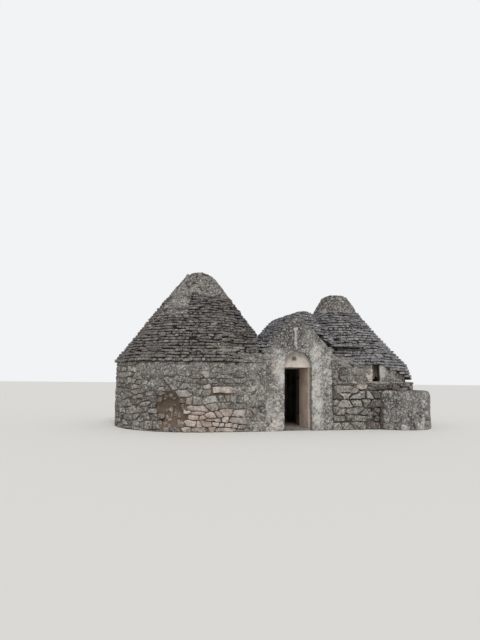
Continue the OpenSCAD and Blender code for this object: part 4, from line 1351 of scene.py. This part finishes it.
def sheet(heap, place, span, heights, out_of, tint_of, back):
    """A closed block of mortar whose front follows out_of(points); place(u, z, out) puts it in the house."""
    grid = bpy.context.scene.trullo_sizes.grid
    # Blocks are about 0.6 m wide; one that nowhere comes out from behind the stones is left out
    ends = np.linspace(*span, max(1, round((span[1] - span[0]) / 0.6)) + 1)
    for u0, u1 in zip(ends[:-1], ends[1:]):
        nu, nz = max(2, round((u1 - u0) / grid)), max(2, round((heights[1] - heights[0]) / grid))
        u, z = (v.ravel() for v in np.meshgrid(np.linspace(u0, u1, nu + 1), np.linspace(*heights, nz + 1),
                                               indexing="ij"))
        out = out_of(place(u, z, np.zeros(len(u))))
        if out.max() < back + 0.012:
            continue
        front, behind = place(u, z, out), place(u, z, np.minimum(out - 0.02, back))
        index, b = np.arange(len(front)).reshape(nu + 1, nz + 1), len(front)
        faces = stack(index[:-1, :-1], index[1:, :-1], index[1:, 1:], index[:-1, 1:]).reshape(-1, 4).tolist()
        rim = [*index[:-1, 0], *index[-1, :-1], *index[:0:-1, -1], *index[0, :0:-1]]
        after = rim[1:] + rim[:1]
        if out.min() < back:
            faces += [[b + v for v in face[::-1]] for face in faces]
            faces += [[i, b + i, b + j, j] for i, j in zip(rim, after)]
        else:
            # Seen by nobody, the back needs no points but those of its rim
            behind, count = behind[rim], len(rim)
            faces += [[rim[i], b + i, b + (i + 1) % count, after[i]] for i in range(count)]
            faces.append([b + i for i in range(count)][::-1])
        found = tint_of(front)
        values = np.zeros((b + len(behind), 4))
        values[:b, : found.shape[1]] = found
        heap.add(np.vstack([front, behind]), faces, values)


def on_wall(path):
    """Places points of a wall face by distance along it, height and distance out."""
    return lambda u, z, out: stack(*path.at(u, out)[0].T, z)


def mortar_back():
    """How far the back of the mortar lies from a wall's face."""
    return -bpy.context.scene.trullo_sizes.wall_bed - 0.01


def spread(p):
    """How fully the mortar covers the left drum's stones."""
    cover = mortar_zone(*p.T)
    return smoothstep(-0.10, 0.30, lumpy(p, 0.26, 4, 3) + 1.3 * (cover - 0.62)) * (cover > 0.02)


def smear(p):
    """Where mortar has run over the right drum's stones, and where it turns over the ledge."""
    ledge = smoothstep(LEDGE_H - 0.09, LEDGE_H - 0.02, p[:, 2] + 0.03 * lumpy(p, 0.3, 13))
    return smoothstep(0.30, 0.60, lumpy(p, 0.40, 12, 3)), ledge


def left_out(p):
    """How far the mortar stands out over the left drum."""
    x, y, z = p.T
    joints = BED + 0.014 * lumpy(p, 0.16, 1, 3)
    over = -0.004 + 0.012 * lumpy(p, 0.35, 2, 2) + 0.024 * lumpy(p, 0.11, 3, 2)
    out = joints + (over - joints) * spread(p) - fresh_zone(x, y, z) * 0.015
    hollow = hollow_depth(p)
    out = np.where(hollow > 0.005, np.minimum(-hollow - 0.06, mortar_back()), out)
    # Cracks where the porch was built against the drum
    wander = 0.04 * lumpy(p, 0.25, 5, 2)
    for place, low in ((-1.62, 1.62), (-1.18, 1.45)):
        out = np.where((np.abs(x - place + wander) < 0.016) & (y < -2) & (z > low), BED - 0.01, out)
    ledge = np.abs(z - 1.66 + 0.05 * lumpy(p, 0.4, 6, 2)) < 0.014
    return np.where(ledge & (y < -2) & (x > -2.4) & (x < -1.15), BED - 0.005, out)


def left_tint(p):
    """How white, lichened, proud and brown the left drum's mortar is; its proud value paints shade in the
    joints and pits and a shadow under the eave.
    """
    x, y, z = p.T
    near = smoothstep(-2.2, -1.2, x) * (y < -2)
    white = 0.14 + 0.22 * near + 0.55 * lumpy(p, 0.16, 7, 3) - 0.12 * smoothstep(1.5, 1.7, z)
    growth = 0.62 - 0.25 * near + 0.4 * lumpy(p, 0.25, 8, 2)
    warm = 0.35 * smoothstep(0.1, 0.5, lumpy(p, 0.5, 9, 2)) * (y < -2)
    pits = smoothstep(-0.42, -0.16, lumpy(p, 0.11, 3, 2))
    # Painted shadow in a band just under the eave, none above it
    clear_of_eave_shadow = smoothstep(EAVE_H - 0.01, EAVE_H - 0.07, z + 0.02 * lumpy(p, 0.2, 10))
    clear_of_eave_shadow = clear_of_eave_shadow + (z > EAVE_H + 0.02)
    return stack(white, growth, (0.38 + 0.62 * spread(p) * (0.25 + 0.75 * pits)) * clear_of_eave_shadow, warm)


def right_out(p):
    """How far the mortar stands out over the right drum."""
    x, y, z = p.T
    run, ledge = smear(p)
    out = (BED - 0.008 + 0.012 * lumpy(p, 0.16, 11, 3) + run * 0.030) * (1 - ledge)
    in_annex = (np.hypot(x - ANNEX[0], y - ANNEX[1]) < ANNEX_R - 0.1) & (z < ANNEX_H - 0.15)
    return np.where(in_annex, mortar_back(), out)


def right_tint(p):
    """How white, lichened and proud the right drum's mortar is; a low proud value, where no mortar has run,
    paints shade in the joints.
    """
    return stack(0.16 + 0.40 * lumpy(p, 0.2, 14, 3), 0.6 + 0.4 * lumpy(p, 0.25, 15, 2),
                 0.22 + 0.78 * np.maximum(*smear(p)))


def upper_out(p):
    """How far the mortar stands out over the right drum's upper wall."""
    x, y = p[:, 0], p[:, 1]
    front = (y < -1.0) * 1.0
    stones = smoothstep(-0.1, 0.35, lumpy(p, 0.35, 16, 3))
    over = -0.003 + 0.014 * lumpy(p, 0.22, 17, 3) + 0.020 * lumpy(p, 0.10, 18, 2)
    bare = front * smoothstep(1.90, 1.72, x) * 0.9 + stones * (0.55 - 0.1 * front)
    return over + (BED - over) * np.clip(bare, 0, 1)


def upper_tint(p):
    """How white, lichened, proud and brown the upper wall's mortar is."""
    x, y, z = p.T
    lime = hump(x, WINDOW[0] - 0.10, 0.10) + hump(x, WINDOW[1] + 0.09, 0.10)
    lime = lime + 0.9 * hump(x, 2.0, 0.22) * hump(z, 1.93, 0.08)
    lime = lime + 0.5 * hump(x, 1.75, 0.30) * hump(z, 1.50, 0.05)
    lime = lime + 0.45 * smoothstep(3.2, 3.6, x) * (lumpy(p, 0.22, 29, 2) + 0.6)
    lime = np.clip(lime, 0, 1)
    white = 0.25 + 0.26 * smoothstep(3.1, 3.4, x) + (y < -1.5) * lime * 0.95
    white = white + 0.35 * lumpy(p, 0.16, 19, 3)
    growth = 0.5 - 0.35 * lime - 0.2 * smoothstep(3.1, 3.5, x) + 0.25 * lumpy(p, 0.25, 20, 2)
    return stack(white, growth, 1.0, 0.5 * (y < -1.5) * smoothstep(0.0, 0.4, lumpy(p, 0.45, 21, 2)))


def on_cone(u, z, out):
    """Places points of the left cone by angle, height and distance out."""
    r = cone_r(LEFT, z) + out
    return stack(AXIS_X[LEFT] + r * np.cos(u), r * np.sin(u), z)


def patch_out(p):
    """How far the mortar patch stands out of the left cone."""
    x, y, z = p.T
    turn = (np.degrees(np.arctan2(y, x - AXIS_X[LEFT])) + 139.5) / 21
    edge = 1.15 - turn**2 - ((z - 4.02) / 0.40) ** 2 + 0.9 * lumpy(p, 0.28, 24, 3)
    cover = 0.012 + 0.016 * lumpy(p, 0.25, 25, 3) + 0.008 * lumpy(p, 0.08, 26, 2)
    return np.where(edge > 0.25, cover, -0.03)


def patch_tint(p):
    """How white, lichened, proud and brown the cone's patch is."""
    return stack(0.34 + 0.40 * lumpy(p, 0.28, 27, 3), 0.60 + 0.3 * lumpy(p, 0.3, 28, 2), 1.0, 0.25)


class TRULLO_OT_mortar(bpy.types.Operator):
    """Point and patch the walls with old lime mortar"""

    bl_idname = "trullo.mortar"
    bl_label = "Mortar"

    def execute(self, context):
        seed, back = context.scene.trullo_sizes.seed, mortar_back()
        path, *heights = face_path("left")
        heap = Heap()
        sheet(heap, on_wall(path), (0, path.length), heights, left_out, left_tint, back)
        heap.piece("left_wall_mortar", "lime_mortar", "old_lime_mortar", smooth=50)

        path, *heights = face_path("right")
        heap = Heap()
        sheet(heap, on_wall(path), (0, path.length), heights, right_out, right_tint, back)
        sheet(heap, lambda u, v, out: stack(*path.at(u, -v)[0].T, LEDGE_H + out), (0, path.length),
              (0.01, DRUM_R - UPPER_R + 0.05), lambda p: 0.012 + 0.016 * lumpy(p, 0.13, 51, 3),
              lambda p: stack(0.42 + 0.4 * lumpy(p, 0.2, 52, 3), 0.5 + 0.4 * lumpy(p, 0.2, 53, 2), 1.0),
              -0.03)
        edge, *heights = face_path("pier")
        sheet(heap, on_wall(edge), (0, edge.length), heights, right_out, right_tint, back)
        heap.piece("right_wall_mortar", "lime_mortar", "old_lime_mortar", smooth=50)

        # Broken stones lie along the ledge
        rng, heap = np.random.default_rng(seed + 54), Heap()
        blanks = [cobble_blank(seed * 7 + i) for i in range(6)]
        for along in np.arange(0.05, path.length, 0.10):
            for deep in (0.05, 0.15, 0.23):
                if rng.random() >= BARE:
                    place, _ = path.at(along + rng.uniform(-0.04, 0.04), -deep - rng.uniform(0, 0.03))
                    set_cobble(heap, blanks, rng, (*place, LEDGE_H + 0.005), (0.08, 0.17),
                               ((0.4, 1.0), 0.10, 1.0), flat=0.45)
        heap.piece("ledge_stones", "rubble_stone", "field_limestone", rough=0.005, seed=seed + 55, smooth=30)

        path, *heights = face_path("upper")
        heap = Heap()
        for span in ((0, WINDOW[0] - PORCH[1]), (WINDOW[1] - PORCH[1], path.length)):
            sheet(heap, on_wall(path), span, heights, upper_out, upper_tint, back)
        # Mortar takes the place of the lowest slabs beside the porch
        for span, r, high, edge, tint in (
                ((-2.0, PORCH[0] + 0.02), DRUM_R, 0.24,
                 ([-2.0, -1.9, -1.4, PORCH[0]], [-0.1, 0.08, 0.17, 0.20]), left_tint),
                ((PORCH[1] - 0.02, 2.1), UPPER_R, 0.22,
                 ([PORCH[1], 1.65, 2.0, 2.1], [0.19, 0.15, 0.07, -0.1]), upper_tint)):

            def eave_out(p):
                top = EAVE_H + np.interp(p[:, 0], *edge) + 0.03 * lumpy(p, 0.15, 22, 2)
                return np.where(p[:, 2] < top, 0.010 + 0.012 * lumpy(p, 0.12, 23, 3), back)

            sheet(heap, lambda u, z, out: stack(u, -r - out, z), span, (EAVE_H - 0.01, EAVE_H + high),
                  eave_out, tint, back)
        heap.piece("right_upper_mortar", "lime_mortar", "old_lime_mortar", smooth=50)

        heap = Heap()
        sheet(heap, on_cone, np.radians((-166, -114)), (3.55, 4.50), patch_out, patch_tint, -0.04)
        heap.piece("left_cone_patch", "lime_mortar", "old_lime_mortar", smooth=50)
        return {"FINISHED"}


# ---- Porch, annex, window, door and inside --------------------------------------------------

# Places on the porch where the wash lasts: sideways place, height, half width, half height, strength
WASHES = ((-0.53, 1.80, 0.20, 0.48, 1.5), (-0.70, 2.35, 0.14, 0.22, 0.45), (0.64, 1.35, 0.19, 0.70, 1.05),
          (0.66, 0.50, 0.20, 0.5, 0.75), (0.64, 2.35, 0.26, 0.42, 0.8), (0.95, 1.75, 0.18, 0.5, 0.4),
          (-0.62, 0.25, 0.22, 0.25, 0.4), (0.35, 2.85, 0.25, 0.25, 0.5), (-0.10, 2.95, 0.12, 0.30, 0.35),
          (-0.62, 2.62, 0.09, 0.14, 0.5))


class TRULLO_OT_porch(bpy.types.Operator):
    """Plaster the gabled porch and its arched recess"""

    bl_idname = "trullo.porch"
    bl_label = "Porch plaster"

    def execute(self, context):
        seed = context.scene.trullo_sizes.seed
        rng = np.random.default_rng(seed + 300)
        squash = np.array([1, 0.3, 1.35])
        seeds = squash * stack(*(rng.uniform(low, high, SPOTS) for low, high in
                                 ((-1.2, 1.45), (-2.75, -2.2), (0, 3.5))))

        def wash(p):
            x, y, z = p.T
            total = sum(f * hump(x, a, w) * hump(z, b, h) for a, b, w, h, f in WASHES)
            return smoothstep(-2.2, -2.5, y) * total

        def height(p, n):
            x, y, z = p.T
            gap, nearest = cracks(p * squash, seeds)
            lasting = wash(p) - 0.30 + 0.45 * lumpy(p, 0.30, 32, 3) + 0.25 * smoothstep(2.3, 2.7, z)
            lasting = smoothstep(-0.05, 0.30, lasting)
            bare = (smoothstep(0.0, JOINT, gap) - 1) * 0.030 + np.sin(nearest * OWN_HEIGHT) * 0.009
            lumps = 0.014 * lumpy(p, 0.45, 33, 2) + 0.010 * lumpy(p, 0.11, 34, 3)
            out = bare * (1 - lasting) + 0.007 * lasting + lumps - 0.002
            # A short crack runs beside the left pier
            crack = (np.abs(z - 1.50 + 0.04 * lumpy(p, 0.2, 36)) < 0.016) & (x > -0.99) & (x < -0.74)
            out = np.where(crack & (y < -2.5), out - 0.03, out)
            side = x + 0.05 * lumpy(p, 0.2, 37, 2)
            edge = smoothstep(PIER_EDGE[1] - 0.02, PIER_EDGE[1] + 0.02, side) * (y < -UPPER_R + 0.03)
            edge = edge + smoothstep(PIER_EDGE[0] + 0.02, PIER_EDGE[0] - 0.01, side) * (y < -2.5)
            edge = edge * (z < EAVE_H + 0.08)
            return out * (1 - edge) - 0.056 * edge

        def tint(p, n):
            x, z = p[:, 0], p[:, 2]
            gap, _ = cracks(p * squash, seeds)
            white = 0.20 + wash(p) * 0.62 + 0.42 * lumpy(p, 0.16, 38, 3)
            white = white + 0.42 * smoothstep(-0.2, -0.5, x) * smoothstep(1.3, 0.6, z)
            white = white + 0.24 * smoothstep(0.85, 1.1, x) * (z < 2.4)
            growth = 0.50 + 0.40 * smoothstep(2.2, 2.8, z) - 0.40 * wash(p) + 0.40 * lumpy(p, 0.20, 39, 3)
            growth = growth + 0.65 * hump(x, -0.52, 0.28) * hump(z, 2.68, 0.25)
            rose = hump(x, -0.80, 0.12) * hump(z, 1.88, 0.38) + 0.5 * hump(x, -0.75, 0.3) * hump(z, 0.3, 0.3)
            rose = rose + 0.6 * smoothstep(1.1, 1.2, x) * (z < 2.3)
            # Painted shade in the joints between bare stones
            stand = 0.35 + 0.65 * smoothstep(0.0, 0.03, gap + 0.05 * wash(p) + 0.02 * smoothstep(2.3, 2.7, z))
            return stack(np.clip(white, 0, 1), np.clip(growth, 0, 1), stand, np.clip(rose, 0, 1) * 0.7)

        nodes = ["gable_wall", "porch_left_pier", "porch_right_pier"]
        finish(carve("porch_plaster", nodes, 0.022, height, tint), "limewash", "limewashed_plaster",
               smooth=45, replaces=nodes)

        # Loose stones along the gable's two slopes
        blanks, heap = [cobble_blank(seed * 5 + i) for i in range(6)], Heap()
        for x in np.arange(GABLE[0] + 0.05, GABLE[1], 0.075):
            for row in range(2):
                size = rng.uniform(0.09, 0.17)
                y = -2.52 + 0.22 * row + rng.uniform(-0.06, 0.06)
                at_x = x + rng.uniform(-0.03, 0.03)
                z = gable_top(at_x) - 0.02 + rng.uniform(-0.02, 0.03)
                set_cobble(heap, blanks, rng, (at_x, y, z), size, ((0.2, 0.8), 0.0, 1.0), (0, -0.3, 1))
        heap.piece("gable_edge_stones", "rubble_stone", "field_limestone",
                   rough=0.005, seed=seed + 31, smooth=30)

        stem = carve("plaster_stem", ["gable_stem"], 0.008,
                     lambda p, n: 0.004 * lumpy(p, 0.05, 15, 2) + 0.003,
                     lambda p, n: stack(0.55 + 0.5 * noise(p, 0.12, 3, 2), 0.45, 1.0))
        finish(stem, "limewash", "limewashed_plaster", smooth=50, replaces=["gable_stem"])
        return {"FINISHED"}


class TRULLO_OT_cut_stones(bpy.types.Operator):
    """Finish the worked stones of the doorway"""

    bl_idname = "trullo.cut_stones"
    bl_label = "Cut stones"

    def execute(self, context):
        def shaded_jamb_fronts(p, n):
            """Painted shade darkens the jambs' fronts; soil streaks run down them."""
            streaks = 0.30 * lumpy(p * [1, 1, 0.2], 0.06, 17, 2)
            return stack(np.clip(0.62 * smoothstep(-0.3, -0.8, n[:, 1]) + streaks, 0, 1))

        def blotches(p, n):
            """Soil lies in blotches on the other stones."""
            return stack(np.clip(0.10 + 0.55 * lumpy(p * [1, 1, 0.7], 0.14, 18, 3), 0, 1))

        for name, old, voxel, material, soil_and_shade in (
                ("jamb_stones", "door_jambs", 0.026, "worked_limestone", shaded_jamb_fronts),
                ("lintel_stone", "door_lintel", 0.02, "worked_limestone", blotches),
                ("tympanum_stone", "arch_stone", 0.016, "worked_limestone_pale", blotches),
                ("doorstep", "threshold", 0.02, "worn_step_limestone", blotches),
                ("carved_boss", "arch_boss", 0.004, "weathered_limestone", blotches)):
            obj = carve(name, [old], voxel, lambda p, n: 0.004 * lumpy(p, 0.09, 16, 2) - 0.003, soil_and_shade)
            finish(obj, "cut_stone", material, smooth=40, replaces=[old])
        return {"FINISHED"}


class TRULLO_OT_annex(bpy.types.Operator):
    """Model the mortared round annex"""

    bl_idname = "trullo.annex"
    bl_label = "Annex"

    def execute(self, context):
        rng = np.random.default_rng(context.scene.trullo_sizes.seed + 400)
        a, z = rng.uniform(-math.pi, math.pi, SPOTS), rng.uniform(0, ANNEX_H, SPOTS)
        squash = np.array([1, 1, 1.35])
        seeds = stack(ANNEX[0] + ANNEX_R * np.cos(a), ANNEX[1] + ANNEX_R * np.sin(a), z) * squash

        def height(p, n):
            gap, nearest = cracks(p * squash, seeds)
            worn = smoothstep(-0.15, 0.35, lumpy(p, 0.5, 41, 3))
            stones = ((smoothstep(0.0, JOINT, gap) - 1) * 0.034 + np.sin(nearest * OWN_HEIGHT) * 0.010) * worn
            lumps = 0.016 * lumpy(p, 0.32, 42, 3) + 0.008 * lumpy(p, 0.10, 43, 2)
            wave = 0.05 * lumpy(p, 0.8, 44, 2) * smoothstep(ANNEX_H - 0.25, ANNEX_H - 0.05, p[:, 2]) - 0.012
            return stones * (n[:, 2] < 0.8) + lumps + wave

        def tint(p, n):
            gap, nearest = cracks(p * squash, seeds)
            white = 0.30 + 0.50 * lumpy(p, 0.18, 45, 3) + 0.40 * lumpy(p * [1, 1, 0.35], 0.14, 47, 3)
            white = white + 0.14 * np.sin(nearest * OWN_TONE)
            growth = 0.50 + 0.80 * lumpy(p, 0.22, 46, 3) + 0.15 * (n[:, 2] > 0.8)
            # Painted shade in the corner where it meets the drum, and in its joints
            meet = np.abs(np.hypot(p[:, 0] - AXIS_X[RIGHT], p[:, 1]) - DRUM_R) + 0.06 * lumpy(p, 0.2, 48)
            stand = (smoothstep(0.0, 0.03, gap) * 0.7 + 0.3) * smoothstep(0.0, 0.16, meet)
            return stack(np.clip(white, 0, 1), np.clip(growth, 0, 1), stand)

        obj = carve("annex_masonry", ["annex"], 0.026, height, tint)
        finish(obj, "rubble_stone", "old_lime_mortar", smooth=45, replaces=["annex"])
        return {"FINISHED"}


class TRULLO_OT_window(bpy.types.Operator):
    """Finish the small window, its sill and its shutter"""

    bl_idname = "trullo.window"
    bl_label = "Window"

    def execute(self, context):
        sill = carve("sill_stone", ["window_sill"], 0.009, lambda p, n: 0.003 * lumpy(p, 0.05, 26, 2) - 0.001)
        finish(sill, "rubble_stone", "worked_limestone", smooth=40, replaces=["window_sill"])
        # Two boards are left of the shutter, rotted off over the sill
        low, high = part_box("window_shutter")
        rng, count = np.random.default_rng(context.scene.trullo_sizes.seed + 61), 14
        for word, left, right, foot, wood, replaced in (
                ("left", 0.20, 0.58, 0.10, "shutter_wood", ["window_shutter"]),
                ("right", 0.60, 0.99, 0.16, "shutter_brown_wood", [])):
            x = np.linspace(low.x + left * (high.x - low.x), low.x + right * (high.x - low.x), 12)
            z = low.z + foot + np.linspace(0.03, -0.03, 12) * rng.uniform(0.4, 1.0)
            z = z + rng.uniform(-0.014, 0.014, 12)
            x, z = np.append(x, [x[-1], x[0]]), np.append(z, [high.z, high.z])
            faces = [list(range(count)), list(range(2 * count - 1, count - 1, -1))]
            faces += [[i, count + i, count + (i + 1) % count, (i + 1) % count] for i in range(count)]
            heap = Heap()
            heap.add(np.vstack([stack(x, low.y + 0.001, z), stack(x, high.y - 0.001, z)]), faces)
            heap.piece(f"shutter_board_{word}", "grey_wood", wood, replaces=replaced)
        return {"FINISHED"}


class TRULLO_OT_door(bpy.types.Operator):
    """Finish the board door with its battens and irons"""

    bl_idname = "trullo.door"
    bl_label = "Door"

    def execute(self, context):
        dress("silvered_wood", "door_boards")
        dress("old_board_wood", "door_battens")
        dress("rusted_iron", "door_straps", "hinge_pins")
        return {"FINISHED"}


class TRULLO_OT_inside(bpy.types.Operator):
    """Finish the rooms, the hall, the vaults and the floor"""

    bl_idname = "trullo.inside"
    bl_label = "Inside"

    def execute(self, context):
        dress("inner_limewash", "room_piers", "hall_ceiling", "left_vault", "right_vault", "closing_slabs")
        dress("inner_limestone", "floor_slabs")
        return {"FINISHED"}


# ---- Stage, panel and main ------------------------------------------------------------------


class TRULLO_OT_stage(bpy.types.Operator):
    """Set the pale floor, the soft light and the camera"""

    bl_idname = "trullo.stage"
    bl_label = "Stage"

    def execute(self, context):
        scene = context.scene
        only()
        bpy.ops.mesh.primitive_plane_add(size=400, location=(0, 0, 0))
        floor = context.object
        floor.name = "studio_floor"
        floor.data.materials.append(finish_for("pale_studio_floor"))

        # The camera sees a paler world than the one that lights the house
        world = bpy.data.worlds.new("soft_studio")
        world.use_nodes = True
        world.node_tree.nodes.clear()
        add = partial(node, world.node_tree)
        light = add("Background", {0: (0.93, 0.96, 1.0, 1), 1: 0.62})
        seen = add("Background", {0: (0.93, 0.94, 0.95, 1), 1: 0.95})
        both = add("MixShader", {0: add("LightPath", out="Is Camera Ray"), 1: light, 2: seen})
        add("OutputWorld", {0: both})
        scene.world = world

        sun = bpy.data.lights.new("soft_key", "SUN")
        sun.energy, sun.angle, sun.color = 1.9, math.radians(35), (1.0, 0.98, 0.95)
        key = bpy.data.objects.new("soft_key", sun)
        key.rotation_euler = (math.radians(38), math.radians(-14), math.radians(8))
        scene.collection.objects.link(key)

        lens = bpy.data.cameras.new("photo_camera")
        lens.lens, lens.sensor_width, lens.sensor_fit = 27.0, 36.0, "AUTO"
        lens.clip_end = 500
        camera = bpy.data.objects.new("photo_camera", lens)
        # The photo's camera: its right, up and view directions, a small roll and its place
        right, up, ahead = (Vector(v) for v in (
            (0.96592583, -0.25881905, 0.0), (-0.03210255, -0.11980835, 0.99227788),
            (0.25682041, 0.95846683, 0.12403473)))
        roll = math.radians(0.6)
        x = right * math.cos(roll) + up * math.sin(roll)
        y = up * math.cos(roll) - right * math.sin(roll)
        place = Matrix((x, y, -ahead)).transposed().to_4x4()
        place.translation = Vector((-5.50706, -16.44201, 1.5))
        camera.matrix_world = place
        scene.collection.objects.link(camera)
        scene.camera = camera
        scene.view_settings.view_transform = "Standard"
        return {"FINISHED"}


STEPS = (
    TRULLO_OT_stage, TRULLO_OT_cone_slabs, TRULLO_OT_hall_slabs, TRULLO_OT_cone_tops, TRULLO_OT_rubble,
    TRULLO_OT_mortar, TRULLO_OT_porch, TRULLO_OT_cut_stones, TRULLO_OT_annex, TRULLO_OT_window,
    TRULLO_OT_door, TRULLO_OT_inside,
)


class TRULLO_PT_panel(bpy.types.Panel):
    """Lists the steps, the sizes and the colours"""

    bl_idname = "TRULLO_PT_panel"
    bl_label = "Trullo house"
    bl_space_type = "VIEW_3D"
    bl_region_type = "UI"
    bl_category = "Trullo"

    def draw(self, context):
        for step in STEPS:
            self.layout.operator(step.bl_idname)
        for group in (context.scene.trullo_sizes, context.scene.trullo_colours):
            for key in group.__annotations__:
                self.layout.prop(group, key)


CLASSES = (TrulloSizes, TrulloColours, *STEPS, TRULLO_PT_panel)


def register():
    """Adds the classes, and the two groups of settings to the scene."""
    for cls in CLASSES:
        bpy.utils.register_class(cls)
    bpy.types.Scene.trullo_sizes = PointerProperty(type=TrulloSizes)
    bpy.types.Scene.trullo_colours = PointerProperty(type=TrulloColours)


def unregister():
    """Takes away what register added."""
    del bpy.types.Scene.trullo_colours
    del bpy.types.Scene.trullo_sizes
    for cls in reversed(CLASSES):
        bpy.utils.unregister_class(cls)


def main():
    """Builds everything."""
    register()
    for step in STEPS:
        getattr(bpy.ops.trullo, step.bl_idname.split(".")[1])()


if __name__ == "__main__":
    main()
